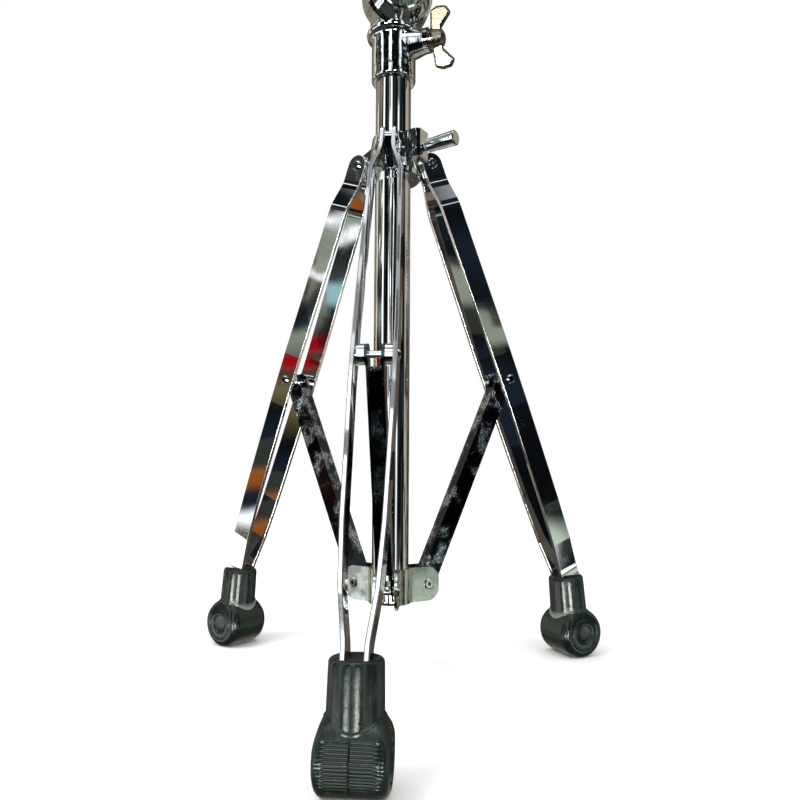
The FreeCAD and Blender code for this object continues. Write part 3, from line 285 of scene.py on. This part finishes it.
SWEEP_WIDE = 12
bpy.ops.mesh.primitive_plane_add(size=SWEEP_WIDE)
sweep = bpy.context.object
sweep.name = "white_sweep"
sweep.visible_glossy = False
sweep_paint = bpy.data.materials.new("sweep_paint")
sweep_paint.use_nodes = True
sweep_paint.node_tree.nodes["Principled BSDF"].inputs["Base Color"].default_value = (0.97, 0.968, 0.965, 1)
sweep_paint.node_tree.nodes["Principled BSDF"].inputs["Roughness"].default_value = 0.9
sweep_paint.node_tree.nodes["Principled BSDF"].inputs["Specular IOR Level"].default_value = 0.1
sweep.data.materials.append(sweep_paint)

LAMPS_AIM = Vector((0, 0, 0.3))
for name, place, wide, watts in (
    ("soft_box", (-1.5, -1.2, 2.3), 1.2, 34),
    ("fill_box", (1.8, -1.6, 1.4), 1.6, 7),
):
    lamp = bpy.data.lights.new(name, "AREA")
    lamp.size = wide
    lamp.energy = watts
    box = bpy.data.objects.new(name, lamp)
    bpy.context.scene.collection.objects.link(box)
    box.location = place
    box.rotation_euler = (LAMPS_AIM - Vector(place)).to_track_quat("-Z", "Y").to_euler()
    box.visible_glossy = False


# ---- Chromed tubes and pressings ----------------------------------------
# The tubes are welded steel and the legs rolled strip, polished and plated
# with bright chrome. Handling leaves a film of smears, hairline scratches
# along the pieces, and a peppering of pits where the plating has lifted.


def new_finish(name):
    """A new material, its shader and its Object coordinates."""
    material = bpy.data.materials.new(name)
    material.use_nodes = True
    tree = material.node_tree
    places = tree.nodes.new("ShaderNodeTexCoord")
    return material, tree.nodes["Principled BSDF"], Flow(places.outputs["Object"])


def feed(shader, name, value):
    """Links a flow to one socket of the shader."""
    shader.id_data.links.new(value.socket, shader.inputs[name])


def noise(place, scale, detail=2.0, roughness=0.5):
    sockets = {"Vector": place, "Scale": scale, "Detail": detail, "Roughness": roughness}
    return place.node("ShaderNodeTexNoise", None, sockets)


def bumped(height, depth, normal=None):
    """A Bump node: height from 0 to 1 stands depth metres high."""
    sockets = {"Height": height, "Distance": depth, "Strength": 1.0}
    if normal is not None:
        sockets["Normal"] = normal
    return height.node("ShaderNodeBump", None, sockets)


def chrome(name, tint, wave_scale, wave_deep, pitted):
    """Mirror plating: how far apart and deep its ripples are, and how pitted it is."""
    material, shader, place = new_finish(name)
    shader.inputs["Metallic"].default_value = 1
    smears = noise(place.scaled((1, 1, 0.45)), 55, 4).step(0.46, 0.72)
    film = noise(place, 14, 2).step(0.40, 0.75)
    scratches = noise(place.scaled((1, 1, 0.02)), 5200, 1).step(0.60, 0.66)
    specks = place.node("ShaderNodeTexVoronoi", None, {"Vector": place, "Scale": 520.0})
    patch = noise(place, 38, 3).step(0.55, 0.68)
    pits = (1 - specks.step(0.10, 0.20)) * patch * pitted
    worn = (0.35 * smears * film).mixed((*tint, 1), (tint[0] * 0.82, tint[1] * 0.84, tint[2] * 0.86, 1))
    feed(shader, "Base Color", pits.mixed(worn, (0.07, 0.055, 0.045, 1)))
    feed(shader, "Roughness", 0.035 + 0.07 * smears * film + 0.05 * scratches * film + 0.45 * pits)
    rolled = bumped(noise(place.scaled((1, 1, 0.12)), wave_scale * 5, 1), wave_deep * 0.2)
    ripple = bumped(noise(place, wave_scale, 1), wave_deep, rolled)
    hairs = bumped(scratches * film + 2.5 * pits, -0.0000025, ripple)
    feed(shader, "Normal", hairs)
    return material


def stocked(slot):
    """The names of the frame's pieces that are made of one stock."""
    return [row["node"] for row in frame["record"]["subparts"] if row["material_slot"] == slot]


def coat(names, finish):
    """Gives the frame's named pieces one finish all over."""
    for name in names:
        node = frame["nodes"][name]
        node.data.materials.clear()
        node.data.materials.append(finish)


CHROME_TINT = (0.79, 0.80, 0.81)
tube_chrome = chrome("chromed_steel", CHROME_TINT, 30, 0.00002, 0.8)
cast_chrome = chrome("chromed_casting", (0.74, 0.78, 0.79), 150, 0.0002, 0.5)
badge_chrome = chrome("turned_badge", (0.70, 0.78, 0.80), 210, 0.00013, 0.3)

coat(stocked("chromed_steel"), tube_chrome)
coat(stocked("chromed_casting"), cast_chrome)


# ---- Struts -------------------------------------------------------------
# The three struts are folded from thin sheet that was plated without being
# polished first, so the plating is dark and clouded, and eaten with rust.

dull, dull_shader, dull_place = new_finish("dull_plated_strut")
dull_shader.inputs["Metallic"].default_value = 1
cloud = noise(dull_place, 60, 5, 0.65).step(0.47, 0.60)
speckle = noise(dull_place, 700, 2).step(0.48, 0.62)
rust = noise(dull_place.scaled((1, 1, 0.5)), 130, 3).step(0.66, 0.72) * speckle
dull_tone = (cloud * (0.3 + 0.7 * speckle)).mixed((0.045, 0.062, 0.088, 1), (0.86, 0.96, 1.0, 1))
feed(dull_shader, "Base Color", rust.mixed(dull_tone, (0.34, 0.13, 0.04, 1)))
feed(dull_shader, "Roughness", 0.10 + 0.16 * cloud + 0.4 * rust)
feed(dull_shader, "Normal", bumped(cloud * speckle, 0.00001, bumped(noise(dull_place, 40, 1), 0.00002)))
coat([leg + "_strut" for leg in ("front", "right", "left")], dull)


# ---- Wings and bolts ----------------------------------------------------
# The wing bolts are die cast and tumbled, then flash plated. They stay
# satin, warmer than the polished pieces, with a soft grain.

wing, wing_shader, wing_place = new_finish("satin_wings")
wing_shader.inputs["Metallic"].default_value = 1
wing_cloud = noise(wing_place, 160, 3).step(0.35, 0.7)
wing_nicks = noise(wing_place, 900, 2).step(0.64, 0.70)
wing_tone = wing_cloud.mixed((0.22, 0.185, 0.145, 1), (0.33, 0.285, 0.225, 1))
feed(wing_shader, "Base Color", (0.6 * wing_nicks).mixed(wing_tone, (0.10, 0.085, 0.07, 1)))
feed(wing_shader, "Roughness", 0.20 + 0.12 * wing_cloud + 0.2 * wing_nicks)
feed(wing_shader, "Normal", bumped(noise(wing_place, 420, 3), 0.00004))
coat([row["node"] for row in frame["record"]["subparts"] if "wing" in row["node"]], wing)


# ---- Lower collar plates ------------------------------------------------
# Three stamped steel plates clasp the foot of the main tube. They are
# zinc plated, so they are pale and satin, with a faint yellow-green cast.

plated, plated_shader, plated_place = new_finish("bright_plated_steel")
plated_shader.inputs["Metallic"].default_value = 1
cloudy = noise(plated_place, 120, 4).step(0.35, 0.7)
stains = noise(plated_place, 300, 3).step(0.6, 0.75)
plated_tone = cloudy.mixed((0.70, 0.76, 0.69, 1), (0.84, 0.89, 0.82, 1))
feed(plated_shader, "Base Color", (0.5 * stains).mixed(plated_tone, (0.42, 0.40, 0.32, 1)))
feed(plated_shader, "Roughness", 0.11 + 0.10 * cloudy + 0.1 * stains)
feed(plated_shader, "Normal", bumped(noise(plated_place, 1400, 2), 0.00001))
coat(stocked("bright_plated_steel"), plated)


# ---- Nylon, brass and badges --------------------------------------------
# Moulded nylon bushings line the clamps, brass shoes bear on the tubes and
# a blank turned disc fills each clamp's eye.

nylon, nylon_shader, nylon_place = new_finish("black_nylon")
mottle = noise(nylon_place, 500, 3)
feed(nylon_shader, "Base Color", mottle.mixed((0.012, 0.012, 0.013, 1), (0.030, 0.030, 0.031, 1)))
feed(nylon_shader, "Roughness", 0.42 + 0.2 * mottle)
feed(nylon_shader, "Normal", bumped(noise(nylon_place, 2600, 2), 0.00002))
coat(stocked("black_nylon"), nylon)

brass, brass_shader, brass_place = new_finish("brass")
brass_shader.inputs["Metallic"].default_value = 1
tarnish = noise(brass_place, 240, 4).step(0.4, 0.7)
feed(brass_shader, "Base Color", tarnish.mixed((0.78, 0.60, 0.28, 1), (0.46, 0.32, 0.14, 1)))
feed(brass_shader, "Roughness", 0.16 + 0.25 * tarnish)
coat(stocked("brass"), brass)
coat(stocked("blank_badge"), badge_chrome)


# ---- Rubber feet --------------------------------------------------------
# Each foot is one moulding of black rubber: a drum on its side, ribbed
# where it grips, under a leaning neck that the two strips are pressed into.
# The halves of the mould leave a seam down the front.

MM = 0.001
DRUM_WIDE = 38.6 * MM
DRUM_RADIUS = 20.5 * MM
DRUM_RIM = 6.3 * MM
NECK_ROOT = 15.6 * MM
NECK_TOP = 14.7 * MM
NECK_LEAN = math.radians(5.2)
NECK_INSIDE = NECK_ROOT - 1.1 * MM
RIB_PITCH = 1.75 * MM
RIB_DEEP = 0.8 * MM
RIB_SPAN = (-44, 36)
LIP_GAP = 0.35 * MM
BAND_WIDE = 0.8 * MM
BAND_TALL = 0.55 * MM
STRIP_SLOPE = math.radians(21.5)
STRIP_WIDE = 18.5 * MM
STEPS_ROUND = 720
# The drum's flat face: radius, and how far it sinks in from the widest.
FACE_RINGS = [
    (0, 1.3), (3.0, 1.25), (6.6, 1.2), (7.2, 1.0), (7.6, 0.35), (8.1, 0.1), (9.4, 0.05),
    (11.2, 0.2), (11.7, 0.65), (12.3, 0.7), (12.8, 0.25), (14.0, 0.1),
]
ENTRY_BACK = 4.36 * MM
ENTRY_UP = 46.8 * MM
SLIT = (3.9 * MM, STRIP_WIDE + 0.6 * MM, 20 * MM)
SLIT_ASIDE = 6.2 * MM
AXLE_UP = 19.88 * MM


def new_piece(name, mesh, body, finish):
    """Makes an object of a bmesh and dresses it with a finish on its body."""
    data = bpy.data.meshes.new(name)
    bmesh.ops.recalc_face_normals(mesh, faces=mesh.faces)
    mesh.to_mesh(data)
    mesh.free()
    piece = bpy.data.objects.new(name, data)
    bpy.context.scene.collection.objects.link(piece)
    return dressed(piece, body, finish)


def dressed(piece, body, finish):
    """Gives a piece its smooth faces, finish and body."""
    piece.data.materials.clear()
    piece.data.materials.append(finish)
    piece.data.shade_smooth()
    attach(piece, body)
    return piece


def arc(across, up, radius, start, end, count):
    """Points along part of a circle, its angles in degrees."""
    turns = [math.radians(start + (end - start) * step / count) for step in range(count + 1)]
    return [(across + radius * math.cos(turn), up + radius * math.sin(turn)) for turn in turns]


def spun(profile, axis, start, steps):
    """A closed form: a profile of (radius, along) points turned once about an axis."""
    mesh = bmesh.new()
    out = Vector(start).normalized()
    along = Vector(axis).normalized()
    corners = [mesh.verts.new(out * radius + along * place) for radius, place in profile]
    edges = [mesh.edges.new(pair) for pair in zip(corners, corners[1:])]
    bmesh.ops.spin(mesh, geom=corners + edges, cent=(0, 0, 0), axis=along, angle=math.tau, steps=steps,
                   use_merge=True)
    bmesh.ops.remove_doubles(mesh, verts=mesh.verts, dist=0.000001)
    bmesh.ops.recalc_face_normals(mesh, faces=mesh.faces)
    return mesh


def sharpened(mesh, degrees):
    """Keeps the mesh's folds crisp under smooth shading."""
    for edge in mesh.edges:
        if len(edge.link_faces) == 2 and edge.calc_face_angle(0) > math.radians(degrees):
            edge.smooth = False


def smooth_step(value, start, end):
    share = min(1, max(0, (value - start) / (end - start)))
    return share * share * (3 - 2 * share)


def foot_drum():
    """The drum, about X, ribbed towards -Y and narrower over its top."""
    half = DRUM_WIDE / 2
    end_profile = [(radius * MM, half - sunk * MM) for radius, sunk in FACE_RINGS]
    rim = arc(DRUM_RADIUS - DRUM_RIM, half - DRUM_RIM, DRUM_RIM, 84, 0, 9)
    tread = [12.8, 12.2, 12.1, 8, 4, 1.0, 0.55, 0.25, 0]
    right = end_profile + rim + [(DRUM_RADIUS, place * MM) for place in tread]
    left = [(radius, -place) for radius, place in reversed(right[:-1])]
    mesh = spun(right + left, (1, 0, 0), (0, -1, 0), STEPS_ROUND)
    for corner in mesh.verts:
        place = corner.co
        radius = math.hypot(place.y, place.z)
        around = math.degrees(math.atan2(place.z, -place.y))
        seam = 1 - smooth_step(abs(place.x), 0.15 * MM, 0.6 * MM)
        if radius > DRUM_RADIUS - 0.5 * DRUM_RIM and abs(around) < 130:
            radius -= 0.5 * MM * seam
        if abs(place.x) < 19 * MM and radius > DRUM_RADIUS - 3 * MM:
            shift = 0.5 if abs(place.x) > 12.15 * MM else (0.22 if place.x > 0 else 0)
            phase = math.radians(around) * DRUM_RADIUS / RIB_PITCH + shift
            tooth = smooth_step(abs((phase % 1) - 0.5), 0.06, 0.30)
            ends = smooth_step(around, RIB_SPAN[0] - 3, RIB_SPAN[0] + 3)
            ends *= 1 - smooth_step(around, RIB_SPAN[1] - 2, RIB_SPAN[1] + 2)
            ends *= 1 - smooth_step(abs(place.x), 15.0 * MM, 16.8 * MM)
            faint = 0.25 + 0.75 * smooth_step(around, -22, -2)
            radius -= RIB_DEEP * tooth * ends * faint
        old = math.hypot(place.y, place.z)
        if old > 0:
            place.y *= radius / old
            place.z *= radius / old
        place.x *= 1 - 0.12 * smooth_step(place.z, 5 * MM, DRUM_RADIUS)
    return mesh


def plain_drum(extra):
    """A roller about X, larger than the drum by extra, for cutting with."""
    half = DRUM_WIDE / 2 + extra
    radius = DRUM_RADIUS + extra
    profile = [(0, half)] + arc(radius - DRUM_RIM, half - DRUM_RIM, DRUM_RIM, 84, 0, 8)
    profile += arc(radius - DRUM_RIM, DRUM_RIM - half, DRUM_RIM, 0, -84, 8) + [(0, -half)]
    mesh = spun(profile, (1, 0, 0), (0, -1, 0), 180)
    for corner in mesh.verts:
        corner.co.x *= 1 - 0.12 * smooth_step(corner.co.z, 5 * MM, DRUM_RADIUS)
    return mesh


def leaned(mesh):
    bmesh.ops.rotate(mesh, verts=mesh.verts, cent=(0, 0, 0), matrix=Matrix.Rotation(-NECK_LEAN, 3, "X"))
    return mesh


def post(radius, height):
    """A plain round bar standing along the neck."""
    return leaned(spun([(0, 0), (radius, 0), (radius, height), (0, height)], (0, 0, 1), (0, -1, 0), 240))


def foot_neck(height):
    """The neck, leaning back towards the tube, with a dished top and the mould's seam."""
    taper = (NECK_TOP - NECK_ROOT) / 10
    profile = [(0, 0), (NECK_ROOT * 0.6, 0), (NECK_ROOT, 0)]
    profile += [(NECK_ROOT + taper * share, height * share / 10) for share in range(1, 9)]
    profile += arc(NECK_TOP - 2.6 * MM, height - 2.6 * MM, 2.6 * MM, 0, 100, 9)
    profile += [(NECK_TOP - 4 * MM, height - 0.45 * MM), (NECK_TOP - 6 * MM, height - 0.7 * MM)]
    profile += [(4 * MM, height - 0.8 * MM), (0, height - 0.8 * MM)]
    mesh = spun(profile, (0, 0, 1), (0, -1, 0), 240)
    for corner in mesh.verts:
        sideways = 1 - smooth_step(abs(corner.co.x), 0.2 * MM, 0.75 * MM)
        if corner.co.y < -NECK_TOP * 0.8 and corner.co.z < height - 1.5 * MM:
            corner.co.y += 0.4 * MM * sideways
    return leaned(mesh)


def joined(first, second, operation):
    """One solid from two bmeshes, worked out exactly."""
    pieces = []
    for mesh in (first, second):
        data = bpy.data.meshes.new("blank")
        mesh.to_mesh(data)
        mesh.free()
        pieces.append(bpy.data.objects.new("blank", data))
        bpy.context.scene.collection.objects.link(pieces[-1])
    tool = pieces[0].modifiers.new("joint", "BOOLEAN")
    tool.object = pieces[1]
    tool.operation = operation
    tool.solver = "EXACT"
    view_layer = bpy.context.evaluated_depsgraph_get()
    data = bpy.data.meshes.new_from_object(pieces[0].evaluated_get(view_layer))
    result = bmesh.new()
    result.from_mesh(data)
    for piece in pieces:
        bpy.data.objects.remove(piece)
    return result


def box_of(size, place):
    """A cube stretched to size, then placed by a matrix."""
    mesh = bmesh.new()
    bmesh.ops.create_cube(mesh, size=1, matrix=place @ Matrix.Diagonal((*size, 1)))
    return mesh


rubber, rubber_shader, rubber_place = new_finish("black_rubber")
bloom = noise(rubber_place, 90, 4).step(0.35, 0.75)
grain = noise(rubber_place, 1100, 3, 0.6)
scuffs = noise(rubber_place.scaled((1, 1, 0.25)), 420, 2).step(0.56, 0.74)
# Painted highlight: a lighter colour on the lip round the neck's foot and on the front rib crests, taken from a
# vertex attribute. It roughens them as well.
lip_and_crest_highlight = rubber_place.node("ShaderNodeAttribute", {"attribute_name": "wear"}, None, 2)
rubber_tone = bloom.mixed((0.0045, 0.0095, 0.0075, 1), (0.011, 0.021, 0.0175, 1))
rubber_tone = (0.30 * scuffs).mixed(rubber_tone, (0.040, 0.055, 0.048, 1))
feed(rubber_shader, "Base Color", (lip_and_crest_highlight * (0.6 + 0.4 * grain)).mixed(rubber_tone, (0.22, 0.27, 0.235, 1)))
feed(rubber_shader, "Roughness", 0.11 + 0.05 * bloom + 0.06 * grain + 0.12 * lip_and_crest_highlight)
lumps = bumped(noise(rubber_place, 260, 3), 0.00006)
feed(rubber_shader, "Normal", bumped(grain, 0.00009, lumps))
rubber_shader.inputs["Specular IOR Level"].default_value = 0.55
coat(stocked("black_rubber"), rubber)

foot_low, foot_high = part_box("front_foot")
drum_centre = Vector((0, foot_low.y + DRUM_RADIUS, foot_low.z + AXLE_UP))
neck_height = (foot_high.z - drum_centre.z - NECK_TOP * math.sin(NECK_LEAN)) / math.cos(NECK_LEAN)
sleeve = joined(foot_neck(neck_height), plain_drum(LIP_GAP), "DIFFERENCE")
lip = [
    edge for edge in sleeve.edges
    if edge.calc_length() < 3 * MM and edge.calc_face_angle(0) > math.radians(35)
    and max(corner.co.z for corner in edge.verts) < 24 * MM
]
bmesh.ops.bevel(sleeve, geom=lip, offset=0.4 * MM, segments=2, profile=0.5, affect="EDGES", material=-1,
                clamp_overlap=True)
band = joined(plain_drum(BAND_TALL), post(NECK_ROOT + BAND_WIDE, 26 * MM), "INTERSECT")
foot = joined(foot_drum(), band, "UNION")
foot = joined(foot, post(NECK_INSIDE, 30 * MM), "UNION")
foot = joined(foot, sleeve, "UNION")
foot = joined(foot, box_of((0.1, 0.1, 0.1), Matrix.Translation((0, 0, -0.05 - AXLE_UP))), "DIFFERENCE")
entry = Matrix.Translation((0, ENTRY_BACK, ENTRY_UP)) @ Matrix.Rotation(-STRIP_SLOPE, 4, "X")
for hand in (-1, 1):
    slit = box_of(SLIT, entry @ Matrix.Translation((hand * SLIT_ASIDE, 0, 0)))
    bmesh.ops.bevel(slit, geom=slit.edges[:], offset=0.8 * MM, segments=2, profile=0.5, affect="EDGES",
                    material=-1)
    foot = joined(foot, slit, "DIFFERENCE")
bmesh.ops.remove_doubles(foot, verts=foot.verts, dist=0.00001)
# Painted highlight: this vertex attribute marks the top of the lip round the neck's foot and the crests of the
# front ribs, which the rubber paints lighter.
wear = foot.verts.layers.float.new("wear")
for corner in foot.verts:
    place = corner.co
    radius = math.hypot(place.y, place.z)
    around = math.degrees(math.atan2(place.z, -place.y))
    beyond = radius - DRUM_RADIUS
    from_neck = math.hypot(place.x, place.y + place.z * math.tan(NECK_LEAN)) - NECK_INSIDE
    at_lip = 1 - smooth_step(beyond, LIP_GAP + 0.5 * MM, LIP_GAP + 1.3 * MM)
    at_lip *= smooth_step(beyond, LIP_GAP - 0.2 * MM, LIP_GAP) * smooth_step(from_neck, 0.5 * MM, 0.9 * MM)
    # The rib crests' share of the painted highlight, strongest on the ribs facing forward and down.
    crest = smooth_step(beyond, -0.35 * MM, -0.05 * MM) if RIB_SPAN[0] < around < RIB_SPAN[1] else 0
    crest *= 0.32 * smooth_step(around, -30, -8) * (1 - smooth_step(abs(place.x), 15 * MM, 17 * MM))
    corner[wear] = max(at_lip * (place.z > 0), crest)
bmesh.ops.translate(foot, verts=foot.verts, vec=drum_centre)
sharpened(foot, 28)
for name, turn in (("front", 0), ("right", 120), ("left", -120)):
    copy = foot.copy()
    about = Matrix.Rotation(math.radians(turn), 3, "Z")
    bmesh.ops.rotate(copy, verts=copy.verts, cent=(0, 0, 0), matrix=about)
    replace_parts(new_piece(name + "_rubber_foot", copy, name + "_leg", rubber), name + "_foot")
foot.free()


# ---- Boom cap, cymbal rod and felts -------------------------------------
# A ribbed rubber cap closes the boom's short end. The rod is rolled with an
# M8 thread, and the cymbal sits between two washers of pressed wool felt.

boom_slide = next(row for row in frame["joints"] if row["name"] == "boom_slide")
boom_way = Vector(boom_slide["axis"])
cap_low, cap_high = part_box("boom_end_cap")
cap_centre = (cap_low + cap_high) / 2
cap_radius = (cap_high.x - cap_low.x) / 2
cap_long = (cap_high.z - cap_low.z - 2 * cap_radius * abs(boom_way.y)) / abs(boom_way.z)
cap_half = cap_long / 2
cap_profile = [(0, -cap_half)] + arc(cap_radius - 2 * MM, 2 * MM - cap_half, 2 * MM, 270, 360, 6)
ring_at = 4 * MM - cap_half
while ring_at < cap_half - 3 * MM:
    groove = ((0, 0), (-0.5, 0.4), (-0.5, 0.9), (0, 1.3))
    cap_profile += [(cap_radius + deep * MM, ring_at + along * MM) for deep, along in groove]
    ring_at += 2.4 * MM
cap_profile += [(cap_radius, cap_half - 0.8 * MM), (cap_radius - 0.8 * MM, cap_half), (0, cap_half)]
cap = spun(cap_profile, (0, 0, 1), (0, -1, 0), 96)
lean = Vector((0, 0, 1)).rotation_difference(boom_way).to_matrix()
bmesh.ops.rotate(cap, verts=cap.verts, cent=(0, 0, 0), matrix=lean)
bmesh.ops.translate(cap, verts=cap.verts, vec=cap_centre)
sharpened(cap, 35)
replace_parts(new_piece("boom_rubber_cap", cap, "boom", rubber), "boom_end_cap")

THREAD_PITCH = 1.25 * MM
THREAD_DEEP = 0.62 * MM
rod_low, rod_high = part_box("cymbal_rod")
rod_middle = (rod_low + rod_high) / 2
rod_radius = (rod_high.x - rod_low.x) / 2
rod_long = rod_high.z - rod_low.z
thread_from = 38 * MM
crest = rod_radius - 0.05 * MM
rings = round((rod_long - thread_from) / (THREAD_PITCH / 8))
rod_profile = [(0, 0), (rod_radius, 0), (rod_radius, thread_from - 0.5 * MM)]
rod_profile += [(crest, thread_from + (rod_long - thread_from) * turn / rings) for turn in range(rings + 1)]
rod_profile += [(0, rod_long)]
rod = spun(rod_profile, (0, 0, 1), (0, -1, 0), 32)
for corner in rod.verts:
    across = math.hypot(corner.co.x, corner.co.y)
    if corner.co.z > thread_from - 0.01 * MM and across > crest * 0.5:
        around = math.atan2(corner.co.y, corner.co.x) / math.tau
        flank = abs(((corner.co.z / THREAD_PITCH - around) % 1) * 2 - 1)
        taper = smooth_step(rod_long - corner.co.z, 0, 1.2 * MM)
        radius = crest - THREAD_DEEP * min(1, 1.15 * flank) - 0.8 * MM * (1 - taper)
        corner.co.x *= radius / across
        corner.co.y *= radius / across
bmesh.ops.translate(rod, verts=rod.verts, vec=(rod_middle.x, rod_middle.y, rod_low.z))
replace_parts(new_piece("threaded_rod", rod, "cymbal_head", tube_chrome), "cymbal_rod")

felt, felt_shader, felt_place = new_finish("grey_felt")
tufts = noise(felt_place, 700, 5, 0.7)
tangle = {"Vector": felt_place, "Scale": 2600.0, "Detail": 4.0, "Distortion": 1.6}
hairs = felt_place.node("ShaderNodeTexNoise", None, tangle)
flecks = noise(felt_place, 1900, 1).step(0.64, 0.70)
felt_tone = tufts.step(0.3, 0.7).mixed((0.16, 0.16, 0.155, 1), (0.36, 0.36, 0.35, 1))
feed(felt_shader, "Base Color", flecks.mixed(felt_tone, (0.62, 0.61, 0.58, 1)))
feed(felt_shader, "Roughness", 0.86 + 0.1 * tufts)
feed(felt_shader, "Normal", bumped(hairs, 0.00035, bumped(tufts, 0.0005)))
felt_shader.inputs["Sheen Weight"].default_value = 0.35
felt_shader.inputs["Sheen Roughness"].default_value = 0.5
coat(stocked("grey_felt"), felt)
for name in ("lower_felt", "upper_felt"):
    low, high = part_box(name)
    sleeve_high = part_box("cymbal_sleeve")[1]
    bore = sleeve_high.x - rod_middle.x + 0.05 * MM
    outside = (high.x - low.x) / 2 - 0.25 * MM
    tall = high.z - low.z
    corner_round = 2.2 * MM
    inner = [(bore, tall - 0.6 * MM - (tall - 1.2 * MM) * step / 8) for step in range(9)]
    bottom = [(bore + (outside - corner_round - bore) * step / 8, 0.15 * MM) for step in range(1, 8)]
    side = arc(outside - corner_round, 0.15 * MM + corner_round, corner_round, 270, 360, 6)
    side += arc(outside - corner_round, tall - 0.15 * MM - corner_round, corner_round, 0, 90, 6)
    top = [(bore + (outside - corner_round - bore) * step / 8, tall - 0.15 * MM) for step in range(7, 0, -1)]
    loop = inner + bottom + side + top
    pad = spun(loop + loop[:1], (0, 0, 1), (0, -1, 0), 144)
    for corner in pad.verts:
        across = math.hypot(corner.co.x, corner.co.y)
        if across > bore + 0.3 * MM:
            seat = corner.co + Vector((0, 0, low.z))
            push = fractal(seat * 420, 0.7, 2.0, 3) * 0.16 * MM
            push += fractal(seat * 1700, 0.7, 2.0, 2) * 0.07 * MM
            corner.co.x *= 1 + push / across
            corner.co.y *= 1 + push / across
            corner.co.z = min(tall, max(0, corner.co.z + 0.5 * push))
    bmesh.ops.translate(pad, verts=pad.verts, vec=(rod_middle.x, rod_middle.y, low.z))
    washer = new_piece(name + "_washer", pad, "cymbal_head", felt)
    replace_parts(washer, name)
